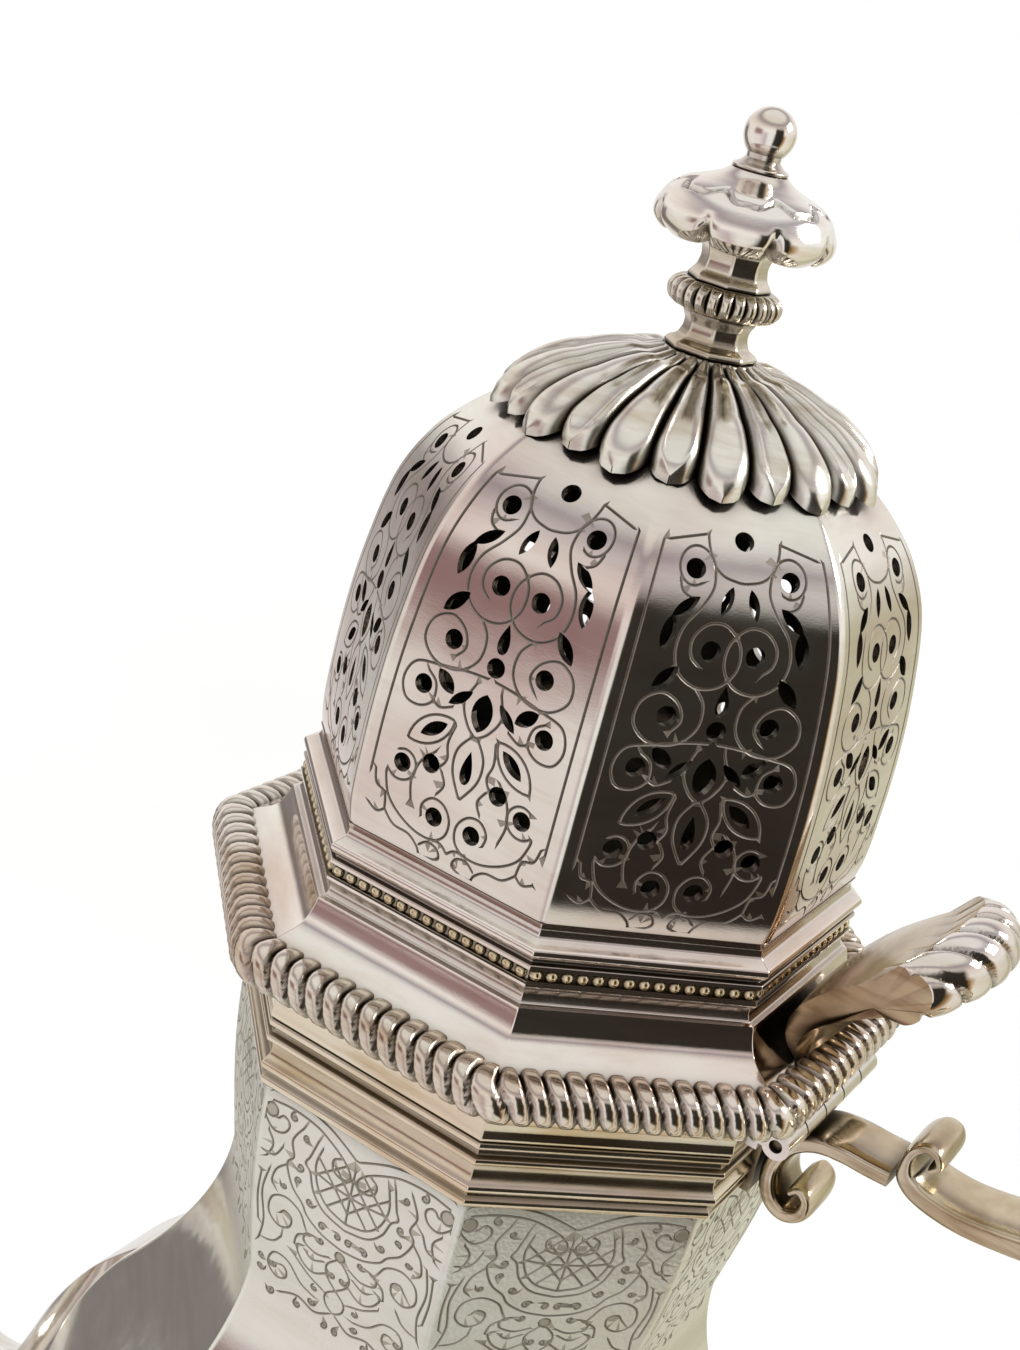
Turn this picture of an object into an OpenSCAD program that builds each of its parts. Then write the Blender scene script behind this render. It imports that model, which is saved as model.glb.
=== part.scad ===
// Eight-sided silver coffee pot with a hinged, pierced dome cover.
// Lengths are millimetres. Heights are measured up from the table. A radius of an
// eight-sided form runs from the axis to a corner, and a flat one is named so.
// The handle and hinge are on +X, the spout is on -X.

/* [Pot body] */
// Height of the mouth above the table
mouth_z = 183; // [175:1:200]
// Corner radius of the straight neck below the mouth
mouth_r = 37.4; // [35:0.2:42]
// Height of the straight neck that carries the mouldings
collar_h = 15; // [13:0.5:20]
// Corner radius of the waist, the narrowest part
waist_r = 34; // [30:0.5:36]
// Height of the waist
waist_z = 141; // [136:1:150]
// Corner radius of the shoulder
shoulder_r = 46.5; // [42:0.5:50]
// Height of the shoulder
shoulder_z = 114; // [106:1:120]
// Corner radius of the belly
belly_r = 55.5; // [50:0.5:60]
// Height of the belly
belly_z = 66; // [60:1:80]
// Corner radius of the body where it meets the foot
stem_r = 35; // [30:0.5:40]
// Thickness of the body's sheet
wall = 1.2; // [0.9:0.1:1.8]

/* [Foot] */
// Height of the spreading foot
foot_h = 15; // [13:0.5:20]
// Corner radius of the foot at the table
foot_r = 46; // [42:0.5:52]
// Height of the moulded wire under the foot
foot_wire_h = 3; // [2:0.5:4]
// Thickness of the pot's bottom plate
base_t = 1.4; // [1:0.1:2]

/* [Cover] */
// How far the cover's flange reaches past the neck, inside the gadrooned rim
flange_reach = 1.8; // [1.2:0.2:2.6]
// Height of the gadrooned rim
rim_h = 6.7; // [6:0.1:8]
// How far the gadrooned rim stands out of the flange
rim_out = 6.5; // [5:0.1:7]
// Ribs along each side of the rim
ribs_per_side = 13; // [9:1:15]
// How far the flange's slope draws in from its edge to its top
slope_in = 3.2; // [2:0.2:4]
// Height of the cover's flange up to the bead band
dish_h = 13.7; // [12:0.1:16]
// Height of the bead band
bead_h = 1.8; // [1.4:0.1:2.4]
// Beads along each side of the band
beads_per_side = 10; // [6:1:12]
// Depth of the bezel that drops into the mouth
bezel_h = 5; // [3:0.5:8]
// Gap between the cover and the pot where they meet
seat_gap = 0.3; // [0.2:0.05:0.5]
// Gap between the bezel and the inside of the mouth
bezel_gap = 0.7; // [0.5:0.1:1.2]

/* [Dome] */
// Height of the dome foot's mouldings
dome_foot_h = 5; // [4:0.2:6]
// Corner radius of the dome at its widest
dome_r = 34.8; // [33.6:0.2:35.4]
// Height of the dome up to the crown
dome_h = 52; // [48:0.5:56]
// Thickness of the dome's sheet
dome_wall = 1.1; // [0.8:0.1:1.6]
// Size of the piercings, 1 as drawn
piercing = 1; // [0.7:0.05:1.15]
// Lobes around the crown
crown_lobes = 22; // [16:2:24]
// Radius of the crown
crown_r = 23; // [21:0.5:24]

/* [Finial] */
// Radius of the finial's cap
cap_r = 10.2; // [9:0.1:11.5]
// Radius of the ribbed knop
knop_r = 6.6; // [5.6:0.1:7.5]
// Radius of the ball
ball_r = 2.9; // [2.4:0.1:3.6]
// Height of the finial's stem between knop and cap
finial_stem_h = 5.2; // [4:0.1:7]
// Radius of the bolt that holds the finial
bolt_r = 1.5; // [1.2:0.1:2]

/* [Hinge] */
// Distance of the hinge pin outside the neck's corner radius
hinge_reach = 2.6; // [2.4:0.1:3.4]
// Length of the hinge along the side
hinge_w = 27; // [24:0.5:30]
// Outer radius of the knuckles
knuckle_r = 1.7; // [1.5:0.05:1.8]
// Radius of the hinge pin
pin_r = 0.8; // [0.7:0.05:0.95]
// Radial clearance round the pin in the cover's knuckles
pin_gap = 0.05; // [0.02:0.01:0.09]

/* [Thumbpiece] */
// Half the width of the thumbpiece's leaf where the roll crosses it
thumb_half = 12.5; // [11:0.5:14]
// Half the width of the thumbpiece at its root
thumb_root = 5; // [4:0.5:8]

/* [Handle] */
// Half the width of the handle's band
band_w = 4.4; // [3.6:0.1:5.5]
// Half the thickness of the handle's band
band_t = 1.6; // [1.3:0.05:2.2]
// How far the grip stands out from the axis
grip_x = 94; // [90:1:105]
// Thickness of the insulating discs
disc_t = 3; // [2:0.25:4]

/* [Spout] */
// How far the spout's tip reaches from the axis
spout_reach = 118; // [114:1:126]
// Height of the spout's tip
spout_tip_z = 172; // [166:1:180]
// Thickness of the spout's wall
spout_wall = 1.1; // [0.9:0.1:1.6]
// Half the width of the spout at its root
spout_root_w = 17; // [14:0.5:18]
// Radius of the strainer holes
strainer_r = 1.6; // [1.2:0.1:2.2]

/* [Hidden] */

silver = "#c9c7c0";
gilt = "#b9a277";
ivory = "#e6dcc0";

sides = 8;
side_angle = 360 / sides;
flat = cos(side_angle / 2); // flat radius over corner radius
fit = 0.05; // gap of soldered and pressed joints
eps = 0.01;

neck_z = mouth_z - collar_h;
cover_z = mouth_z + seat_gap;
flange_r = mouth_r + flange_reach;
slope_r = flange_r - slope_in;
rim_r = flange_r + rim_out;
hinge_x = mouth_r + hinge_reach;
bead_z = cover_z + dish_h;
dome_foot_z = bead_z + bead_h;
dome_z = dome_foot_z + dome_foot_h;
crown_z = dome_z + dome_h;
hinge_z = cover_z - knuckle_r + 0.1;

// ---- shared functions ----

function smooth_at(a, b, c, d, t) = 0.5 * (2 * b + (c - a) * t
    + (2 * a - 5 * b + 4 * c - d) * t * t + (3 * b - a - 3 * c + d) * t * t * t);

// A smooth row of stations through the given ones, n steps between each pair
function smooth(p, n) = [
    for (i = [0 : len(p) - 2]) for (j = [0 : n - 1])
        smooth_at(p[max(i - 1, 0)], p[i], p[i + 1], p[min(i + 2, len(p) - 1)], j / n),
    p[len(p) - 1]];

function unit(v) = v / norm(v);

// Direction of travel at station i of a row whose first two numbers are x and z
function heading(p, i) =
    let (a = p[max(i - 1, 0)], b = p[min(i + 1, len(p) - 1)])
    unit([b[0] - a[0], b[1] - a[1]]);

// Closed solid through rings that have the same number of points each
module skin(rings) {
    n = len(rings[0]);
    m = len(rings);
    points = [for (r = rings) for (p = r) p];
    walls = [for (i = [0 : m - 2]) for (j = [0 : n - 1])
        let (k = (j + 1) % n, a = i * n + j, b = i * n + k)
        each [[a, b, b + n], [a, b + n, a + n]]];
    start = [[for (j = [0 : n - 1]) n - 1 - j]];
    end = [[for (j = [0 : n - 1]) (m - 1) * n + j]];
    polyhedron(points, concat(walls, start, end), convexity = 6);
}

// Solid of a closed loop of rings, such as a tube's outside and then its inside
module loop_skin(rings) {
    n = len(rings[0]);
    m = len(rings);
    points = [for (r = rings) for (p = r) p];
    walls = [for (i = [0 : m - 1]) for (j = [0 : n - 1])
        let (k = (j + 1) % n, i2 = (i + 1) % m)
        each [[i * n + j, i * n + k, i2 * n + k], [i * n + j, i2 * n + k, i2 * n + j]]];
    polyhedron(points, walls, convexity = 6);
}

// Eight-sided solid from a profile of [corner radius, height]
module octagon(profile) {
    rotate(side_angle / 2)
        rotate_extrude($fn = sides) polygon(profile);
}

// ---- pot body ----

function body_r(z) =
    z <= belly_z ? stem_r + (belly_r - stem_r) * sin(90 * (z - foot_h) / (belly_z - foot_h))
    : z <= shoulder_z ? belly_r - (belly_r - shoulder_r)
        * pow((z - belly_z) / (shoulder_z - belly_z), 3.5)
    : z <= waist_z ? waist_r + (shoulder_r - waist_r)
        * pow((waist_z - z) / (waist_z - shoulder_z), 1.9)
    : z <= neck_z ? waist_r + (mouth_r - waist_r) * sin(90 * (z - waist_z) / (neck_z - waist_z))
    : mouth_r;

// Heights between two levels
function levels(a, b, n) = [for (i = [0 : n - 1]) a + (b - a) * i / n];

body_levels = concat(levels(foot_h, belly_z, 7), levels(belly_z, shoulder_z, 7),
    levels(shoulder_z, waist_z, 7), levels(waist_z, neck_z, 4), [neck_z, mouth_z]);

function body_outside() = [for (z = body_levels) [body_r(z), z]];
function body_inside() = [for (i = [len(body_levels) - 1 : -1 : 0])
    [body_r(body_levels[i]) - wall / flat, body_levels[i]]];

// Strainer holes where the spout opens
strainer_pitch = 3 * strainer_r;
spout_root_z = 66;

module strainer_holes() {
    for (row = [-3 : 3])
        for (i = [0 : 3 - abs(row) % 2])
            translate([-belly_r, (i - (3 - abs(row) % 2) / 2) * strainer_pitch,
                spout_root_z + row * strainer_pitch * 0.87])
                rotate([0, 90, 0])
                cylinder(h = belly_r / 2, r = strainer_r, $fn = 24);
}

module body_shell() {
    color(silver)
        difference() {
            octagon(concat(body_outside(), body_inside()));
            strainer_holes();
        }
}

plate_ledge = 3.2;

module base_plate() {
    color(silver)
        rotate(side_angle / 2)
        translate([0, 0, foot_h])
        cylinder(h = base_t, r = stem_r - wall / flat - fit, $fn = sides);
}

module foot() {
    bottom = foot_wire_h;
    rise = foot_h - bottom;
    color(silver)
        octagon([
            [foot_r - 0.8, bottom],
            [foot_r - 1, bottom + 0.12 * rise],
            [foot_r - 2.2, bottom + 0.22 * rise],
            [foot_r - 3, bottom + 0.24 * rise],
            [foot_r - 5.2, bottom + 0.34 * rise],
            [stem_r + 3.4, bottom + 0.52 * rise],
            [stem_r + 1.6, bottom + 0.7 * rise],
            [stem_r + 1.2, bottom + 0.82 * rise],
            [stem_r + 1.8, bottom + 0.86 * rise],
            [stem_r + 1.8, bottom + 0.94 * rise],
            [stem_r + 1, foot_h],
            [stem_r - plate_ledge, foot_h],
            [stem_r - plate_ledge, foot_h - 1.4],
            [stem_r + 0.4, bottom + 0.42 * rise],
            [foot_r - 7.6, bottom + 0.18 * rise],
            [foot_r - 4, bottom]]);
}

module foot_wire() {
    color(silver)
        octagon([
            [foot_r - 4.4, 0],
            [foot_r, 0],
            [foot_r, 0.3 * foot_wire_h],
            [foot_r - 0.3, 0.8 * foot_wire_h],
            [foot_r - 0.8, foot_wire_h],
            [foot_r - 4.4, foot_wire_h]]);
}

// Mouldings round the neck: a cavetto between beads of half-round wire
module neck_moulding() {
    inner = mouth_r + fit;
    low = neck_z + 1;
    high = mouth_z - 4.5;
    step = (high - low) / 10;
    color(silver)
        difference() {
            octagon([
                [inner, low],
                [inner + 0.9, low + 0.3 * step],
                [inner + 1.1, low + 1 * step],
                [inner + 0.5, low + 1.7 * step],
                [inner + 0.6, low + 2.2 * step],
                [inner + 1.3, low + 2.6 * step],
                [inner + 1.4, low + 3.6 * step],
                [inner + 0.5, low + 4.1 * step],
                [inner + 0.35, low + 5.4 * step],
                [inner + 0.6, low + 6.4 * step],
                [inner + 1.4, low + 6.7 * step],
                [inner + 1.5, low + 7.4 * step],
                [inner + 0.6, low + 7.8 * step],
                [inner + 0.6, low + 8.6 * step],
                [inner + 1.5, low + 8.9 * step],
                [inner + 1.5, low + 9.6 * step],
                [inner + 0.7, high],
                [inner, high]]);
            handle_slot();
        }
}

// The band round the mouth that the cover rests over
module rim_band() {
    inner = mouth_r + fit;
    low = mouth_z - 4.5;
    color(silver)
        octagon([
            [inner, low],
            [inner + 1.5, low],
            [inner + 1.9, low + 0.7],
            [inner + 2.1, mouth_z - 0.7],
            [inner + 1.7, mouth_z],
            [inner, mouth_z]]);
}

// ---- spout ----

// Stations along the spout: throat side x and z, outer side x and z, half width
spout_stations = [
    [-46, 109, -46, 36, spout_root_w],
    [-55, 99, -55, 33.5, spout_root_w - 0.5],
    [-61.5, 88, -64, 32, spout_root_w - 1.5],
    [-66.5, 76, -74, 32.5, spout_root_w - 3],
    [-71, 66, -83, 35.5, 12],
    [-77, 60, -94, 41.5, 10.5],
    [-84.5, 59, -104, 51, 9.5],
    [-92.5, 63.5, -110, 62.5, 8.6],
    [-98, 72, -113, 76, 8],
    [-100.5, 86, -114, 90, 7.4],
    [-102, 107, -114.5, 109, 6.8],
    [-103.5, 130, -115.5, 132, 6.2],
    [6 - spout_reach, spout_tip_z - 16, -spout_reach - 5, spout_tip_z - 12, 5.8],
    [4.6 - spout_reach, spout_tip_z - 3.2, -spout_reach - 4.6, spout_tip_z + 3.2, 5.4]];
spout_path = smooth(spout_stations, 2);

function spout_mid(s) = [(s[0] + s[2]) / 2, (s[1] + s[3]) / 2];
function spout_half(s) = norm([s[0] - s[2], s[1] - s[3]]) / 2;
function spout_up(s) = unit([s[0] - s[2], s[1] - s[3]]);

// Eight-sided ring of the spout at station s, grown by w and moved along by d
function spout_ring(s, w, d) =
    let (c = spout_mid(s), h = spout_half(s), u = spout_up(s))
    [for (k = [0 : sides - 1])
        let (a = side_angle * (k + 0.5), up = (h / flat + w) * cos(a),
            out = (s[4] / flat + w) * sin(a))
        [c[0] + u[0] * up - u[1] * d, out, c[1] + u[1] * up + u[0] * d]];

module spout() {
    last = len(spout_path) - 1;
    outside = [for (i = [0 : last]) spout_ring(spout_path[i], 0, 0)];
    inside = [for (i = [last : -1 : 0]) spout_ring(spout_path[i], -spout_wall, 0)];
    color(silver)
        difference() {
            loop_skin(concat(outside, inside));
            octagon(concat([[0, foot_h]], [for (p = body_outside()) [p[0] + 2 * fit, p[1]]],
                [[0, mouth_z]]));
        }
}

// Moulded wire round the spout's tip
module spout_lip() {
    s = spout_path[len(spout_path) - 1];
    section = [[-0.3, fit], [1.1, 0.3], [1.3, 1.1], [1, 1.9], [-spout_wall, 1.9],
        [-spout_wall, fit]];
    color(silver)
        loop_skin([for (p = section) spout_ring(s, p[0], p[1])]);
}

// ---- handle ----

// Strap section of the handle: rounded rectangle of half thickness a and half width b
function strap(s, t) = [for (k = [0 : 9])
    let (q = 36 * k + 18, c = cos(q), w = sin(q),
        a = s[2] * sign(c) * pow(abs(c), 0.6), b = s[3] * sign(w) * pow(abs(w), 0.7))
    [s[0] - t[1] * a, b, s[1] + t[0] * a]];

module band(stations, n, first, last) {
    path = smooth(stations, n);
    end = len(path) - 1;
    skin([for (i = [0 : end])
        strap(path[i], i == 0 && first != undef ? first
            : i == end && last != undef ? last : heading(path, i))]);
}

arm_top = hinge_z - knuckle_r + 0.5;
neck_flat = mouth_r * flat;

// The slot that the handle's root passes through
module handle_slot() {
    translate([neck_flat - 2, -band_w - 0.3, neck_z])
        cube([8, 2 * band_w + 0.6, mouth_z - 4.5 - neck_z - 1.4]);
}

// Plate soldered to the neck under the hinge
module handle_plate() {
    low = neck_z + 0.2;
    color(gilt)
        translate([neck_flat + fit, -band_w, low])
        cube([1.6, 2 * band_w, mouth_z - 6.3 - low]);
}

arm_x = neck_flat + 1.6 + 2 * fit + band_t - 0.05;

// Upper arm, which curls under itself into a volute
arm_stations = [
    [neck_flat + 16.55, arm_top - 1.5, band_t - 0.2, band_w],
    [neck_flat + 13.85, arm_top - 1.6, band_t - 0.2, band_w],
    [neck_flat + 10.45, arm_top - 1.6, band_t - 0.2, band_w],
    [neck_flat + 7.25, arm_top - 2.2, band_t - 0.2, band_w],
    [neck_flat + 4.65, arm_top - 4, band_t - 0.2, band_w],
    [arm_x + 0.1, arm_top - 6.8, band_t - 0.3, band_w],
    [arm_x, arm_top - 9.6, band_t - 0.3, band_w],
    [neck_flat + 4.35, arm_top - 12, 1.25, band_w],
    [neck_flat + 6.35, arm_top - 12.9, 1.2, band_w],
    [neck_flat + 8.25, arm_top - 11.9, 1.1, band_w],
    [neck_flat + 8.55, arm_top - 9.9, 0.85, band_w],
    [neck_flat + 7.35, arm_top - 8.9, 0.65, band_w],
    [neck_flat + 6.35, arm_top - 9.7, 0.5, band_w]];

module handle_arm() {
    color(gilt)
        band(arm_stations, 3, [-1, 0]);
}

// Curled spur and the first run of the double scroll
scroll_stations = [
    [neck_flat + 20.55, arm_top + 1.9, 0.55, band_w - 0.4],
    [neck_flat + 21.35, arm_top + 3, 0.6, band_w - 0.2],
    [neck_flat + 20.75, arm_top + 4.3, 0.7, band_w],
    [neck_flat + 19.35, arm_top + 4.5, 0.75, band_w],
    [neck_flat + 18.15, arm_top + 3.3, 0.8, band_w],
    [neck_flat + 17.85, arm_top + 1.5, 0.95, band_w],
    [neck_flat + 18.35, arm_top - 0.4, band_t - 0.15, band_w],
    [neck_flat + 20.65, arm_top - 1.7, band_t, band_w],
    [neck_flat + 25.45, arm_top - 2.1, band_t + 0.1, band_w + 0.2],
    [neck_flat + 31.45, arm_top - 1.2, band_t + 0.3, band_w + 0.4],
    [neck_flat + 36.95, arm_top + 0.2, band_t + 0.5, band_w + 0.6]];

module handle_scroll() {
    color(gilt)
        difference() {
            band(scroll_stations, 3, undef, upper_dir);
            pin_bores();
        }
}

upper_disc = [neck_flat + 36.95, arm_top + 0.2];
upper_dir = unit([5.5, 1.4]);
grip_start = upper_disc + upper_dir * (disc_t + 2 * fit);
lower_disc = [64, 81];
lower_dir = unit([-7, -5]);
grip_end = lower_disc - lower_dir * (disc_t + 2 * fit);

grip_stations = concat(
    [[grip_start[0], grip_start[1], band_t + 0.5, band_w + 0.6],
     [grip_start[0] + 4 * upper_dir[0], grip_start[1] + 4 * upper_dir[1],
        band_t + 0.7, band_w + 0.9]],
    [[grip_x - 7.5, mouth_z - 7, band_t + 1.1, band_w + 1.4],
     [grip_x - 1.4, mouth_z - 21, band_t + 1.4, band_w + 1.6],
     [grip_x, mouth_z - 37, band_t + 1.5, band_w + 1.6],
     [grip_x - 3, mouth_z - 55, band_t + 1.3, band_w + 1.4],
     [grip_x - 10, mouth_z - 74, band_t + 1.1, band_w + 1],
     [grip_x - 18, mouth_z - 89, band_t + 0.8, band_w + 0.8]],
    [[grip_end[0] - 4 * lower_dir[0], grip_end[1] - 4 * lower_dir[1],
        band_t + 0.5, band_w + 0.6],
     [grip_end[0], grip_end[1], band_t + 0.4, band_w + 0.4]]);

module handle_grip() {
    color(gilt)
        difference() {
            band(grip_stations, 4, upper_dir, lower_dir);
            pin_bores();
        }
}

// Disc of bone that keeps the heat out of the grip
module insulator(at, dir, extra) {
    path = [
        [at[0] + dir[0] * fit, at[1] + dir[1] * fit, band_t + extra, band_w + extra],
        [at[0] + dir[0] * (fit + 0.5), at[1] + dir[1] * (fit + 0.5),
            band_t + extra + 0.5, band_w + extra + 0.5],
        [at[0] + dir[0] * (fit + disc_t - 0.5), at[1] + dir[1] * (fit + disc_t - 0.5),
            band_t + extra + 0.5, band_w + extra + 0.5],
        [at[0] + dir[0] * (fit + disc_t), at[1] + dir[1] * (fit + disc_t),
            band_t + extra, band_w + extra]];
    color(ivory)
        skin([for (s = path) strap(s, dir)]);
}

module insulator_upper() {
    insulator(upper_disc, upper_dir, 0.6);
}

module insulator_lower() {
    insulator(grip_end, lower_dir, 0.5);
}

// Foot of the body where the bracket lands
bracket_z = 70;
bracket_x = body_r(bracket_z) * flat + 0.25;

// Lower bracket from the disc to the belly, with a curled tail
bracket_stations = [
    [lower_disc[0] + lower_dir[0] * fit, lower_disc[1] + lower_dir[1] * fit,
        band_t + 0.4, band_w + 0.4],
    [lower_disc[0] - 3.4, lower_disc[1] - 3.2, band_t + 0.3, band_w + 0.3],
    [bracket_x + band_t + 0.5, bracket_z + 1, band_t + 0.3, band_w],
    [bracket_x + band_t + 0.4, bracket_z - 6, band_t, band_w],
    [bracket_x + band_t + 1.6, bracket_z - 12, 1.5, band_w - 0.2],
    [bracket_x + 6.6, bracket_z - 15.6, 1.5, band_w - 0.4],
    [bracket_x + 10.6, bracket_z - 12.8, 1.4, band_w - 0.4],
    [bracket_x + 9.8, bracket_z - 9, 1.3, band_w - 0.4],
    [bracket_x + 6.8, bracket_z - 9.6, 1.2, band_w - 0.4]];

module handle_bracket() {
    color(gilt)
        difference() {
            band(bracket_stations, 3, lower_dir);
            pin_bores();
        }
}

pin_len = 2 * band_w + 1.6;
pins = [
    upper_disc - upper_dir * 2,
    grip_start + upper_dir * 2,
    grip_end - lower_dir * 2,
    lower_disc + lower_dir * 2];

module pin_bores() {
    for (p = pins)
        translate([p[0], 0, p[1]])
            rotate([90, 0, 0])
            cylinder(h = 4 * band_w, r = 0.7 + fit, center = true, $fn = 24);
}

module handle_pins() {
    color(silver)
        for (p = pins)
            translate([p[0], 0, p[1]])
                rotate([90, 0, 0])
                cylinder(h = pin_len, r = 0.7, center = true, $fn = 24);
}

// ---- hinge ----

knuckles = 5;
knuckle_gap = 0.3;
knuckle_len = (hinge_w - (knuckles - 1) * knuckle_gap) / knuckles;
leaf_clear = knuckle_r + 0.35;

// One knuckle and the tongue that joins it to its leaf, from distance back to distance
// fore of the pin
module knuckle(i, back, fore, low, high, bore_r) {
    y = -hinge_w / 2 + i * (knuckle_len + knuckle_gap);
    difference() {
        union() {
            translate([hinge_x, y + knuckle_len, hinge_z])
                rotate([90, 0, 0])
                cylinder(h = knuckle_len, r = knuckle_r, $fn = 48);
            translate([hinge_x - back, y, low])
                cube([back + fore, knuckle_len, high - low]);
        }
        translate([hinge_x, y + knuckle_len + 1, hinge_z])
            rotate([90, 0, 0])
            cylinder(h = knuckle_len + 2, r = bore_r, $fn = 48);
    }
}

band_flat = (mouth_r + fit + 2.1) * flat;

module hinge_body() {
    top = mouth_z - 0.05;
    low = mouth_z - 2.9;
    color(silver)
        union() {
            translate([band_flat + fit, -hinge_w / 2, low])
                cube([hinge_x - leaf_clear - band_flat - fit, hinge_w, top - low]);
            for (i = [0, 2, 4])
                knuckle(i, leaf_clear + eps, 0, low + 0.9, hinge_z + 0.6 * knuckle_r,
                    pin_r + 0.02);
        }
}

module hinge_pin() {
    color(silver)
        translate([hinge_x, hinge_w / 2 - 0.7, hinge_z])
        rotate([90, 0, 0])
        cylinder(h = hinge_w - 1.4, r = pin_r, $fn = 48);
}

module hinge_cover() {
    low = cover_z + 0.02;
    high = cover_z + 0.62;
    color(silver)
        union() {
            translate([flange_r * flat + fit, -hinge_w / 2, low])
                cube([hinge_x - leaf_clear - flange_r * flat - fit, hinge_w, high - low]);
            for (i = [1, 3]) {
                knuckle(i, 0.6 * knuckle_r, 0, hinge_z + 0.7 * knuckle_r, high, pin_r + pin_gap);
                translate([hinge_x - leaf_clear - eps, -hinge_w / 2
                    + i * (knuckle_len + knuckle_gap), low])
                    cube([leaf_clear, knuckle_len, high - low]);
            }
        }
}

// ---- cover ----

dish_inner = slope_r - 2.4;

module cover_flange() {
    z = cover_z;
    color(silver)
        octagon([
            [flange_r, z],
            [flange_r, z + rim_h],
            [flange_r - 1.1, z + rim_h + 0.5],
            [flange_r - 2.1, z + rim_h + 1.5],
            [slope_r + 0.4, z + rim_h + 2.8],
            [slope_r, z + rim_h + 4.2],
            [slope_r - 0.9, z + rim_h + 4.4],
            [slope_r - 1.3, z + rim_h + 5.2],
            [slope_r - 1.2, z + dish_h - 0.8],
            [slope_r - 0.4, z + dish_h - 0.6],
            [slope_r - 0.4, z + dish_h],
            [dish_inner, z + dish_h],
            [dish_inner, z + rim_h + 2],
            [mouth_r - 2, z + rim_h - 2.5],
            [mouth_r - 2, z]]);
}

module cover_bezel() {
    outer = mouth_r - (wall + bezel_gap) / flat;
    color(silver)
        octagon([
            [outer - 1.1, cover_z - bezel_h],
            [outer - 0.2, cover_z - bezel_h],
            [outer, cover_z - bezel_h + 1],
            [outer, cover_z - fit],
            [mouth_r - 2 - fit, cover_z + fit],
            [mouth_r - 2 - fit, cover_z + rim_h - 2.6],
            [outer - 1.1, cover_z + rim_h - 2.6]]);
}

// Half-round rope of the rim with ribs standing on it
module gadroon_rim() {
    z = cover_z;
    inner = flange_r + fit;
    low = 0.75;
    rope_r = 0.5 * (rim_h - low) - 0.2;
    side = 2 * (rim_r - 1.6) * sin(side_angle / 2);
    pitch = side / ribs_per_side;
    reach = 0.5 * (rim_out + 0.2) * flat;
    half_round = concat([[0, -0.8 * rope_r]],
        [for (a = [-90 : 22.5 : 90]) [reach + reach * cos(a), rope_r * sin(a)]],
        [[0, 0.8 * rope_r]]);
    color(silver)
        union() {
            octagon([
                [inner, z + low],
                [inner + 0.3 * rim_out, z + low],
                [inner + 0.72 * rim_out, z + 1.5],
                [inner + 0.88 * rim_out, z + 0.5 * rim_h],
                [inner + 0.72 * rim_out, z + rim_h - 1.4],
                [inner + 0.3 * rim_out, z + rim_h - 0.5],
                [inner, z + rim_h]]);
            for (k = [0 : sides - 1], i = [0 : ribs_per_side - 1])
                rotate(side_angle * k)
                    translate([inner * flat + 0.1, (i + 0.5) * pitch - side / 2,
                        z + 0.5 * (rim_h + low)])
                    rotate([90, 0, 0])
                    linear_extrude(0.6 * pitch, center = true) polygon(half_round);
        }
}

module bead_band() {
    outer = slope_r - 0.4;
    side = 2 * outer * sin(side_angle / 2);
    pitch = side / beads_per_side;
    color(silver)
        union() {
            octagon([
                [dish_inner, bead_z],
                [outer - 0.5, bead_z],
                [outer - 0.5, dome_foot_z],
                [dish_inner, dome_foot_z]]);
            for (k = [0 : sides - 1], i = [0 : beads_per_side - 1])
                rotate(side_angle * k)
                    translate([(outer - 0.5) * flat, (i + 0.5) * pitch - side / 2,
                        bead_z + bead_h / 2])
                    rotate([0, 90, 0])
                    cylinder(h = 0.45, r = min(bead_h, pitch) / 2 - 0.12, $fn = 16);
        }
}

// Torus and cavetto that the dome stands on
module dome_foot() {
    z = dome_foot_z;
    h = dome_foot_h;
    outer = slope_r - 0.4;
    top = dome_r - 0.6;
    color(silver)
        octagon([
            [dish_inner, z],
            [outer, z],
            [outer, z + 0.1 * h],
            [outer - 0.8, z + 0.12 * h],
            [outer - 0.8, z + 0.22 * h],
            [outer + 0.1, z + 0.26 * h],
            [outer + 0.4, z + 0.36 * h],
            [outer + 0.3, z + 0.48 * h],
            [outer - 0.4, z + 0.55 * h],
            [top + 0.1, z + 0.64 * h],
            [top - 0.3, z + 0.8 * h],
            [top, z + h],
            [top - 1.6, z + h],
            [dish_inner - 0.6, z + 0.6 * h]]);
}

// Dome outline: corner radius and height as shares of the dome's own sizes
dome_line = [for (p = smooth([[-0.6, 0], [-0.1, 0.06], [0, 0.16], [-0.2, 0.31], [-1, 0.47],
    [-2.8, 0.65], [-5.8, 0.77], [-9.4, 0.85], [-13, 0.905], [-17.4, 0.95], [-21.6, 0.98],
    [-25.6, 1]], 2)) [dome_r + p[0], dome_z + dome_h * p[1]]];

// A line set in by the wall w
function inset(line, w) = [for (i = [0 : len(line) - 1])
    let (t = heading(line, i)) [line[i][0] - t[1] * w, line[i][1] - t[0] * w * -sign(-t[0])]];

// Round piercings: distance from the panel's middle and height above the dome's foot
hole_r = 1.1 * piercing;
middle_holes = [[0, 43.2], [0, 24.5]];
paired_holes = [[5.3, 40.3], [2.5, 32.7], [5.8, 25.5], [7.8, 19.6], [7.9, 10.1], [4.4, 11.5],
    [2.5, 5.8]];
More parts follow.
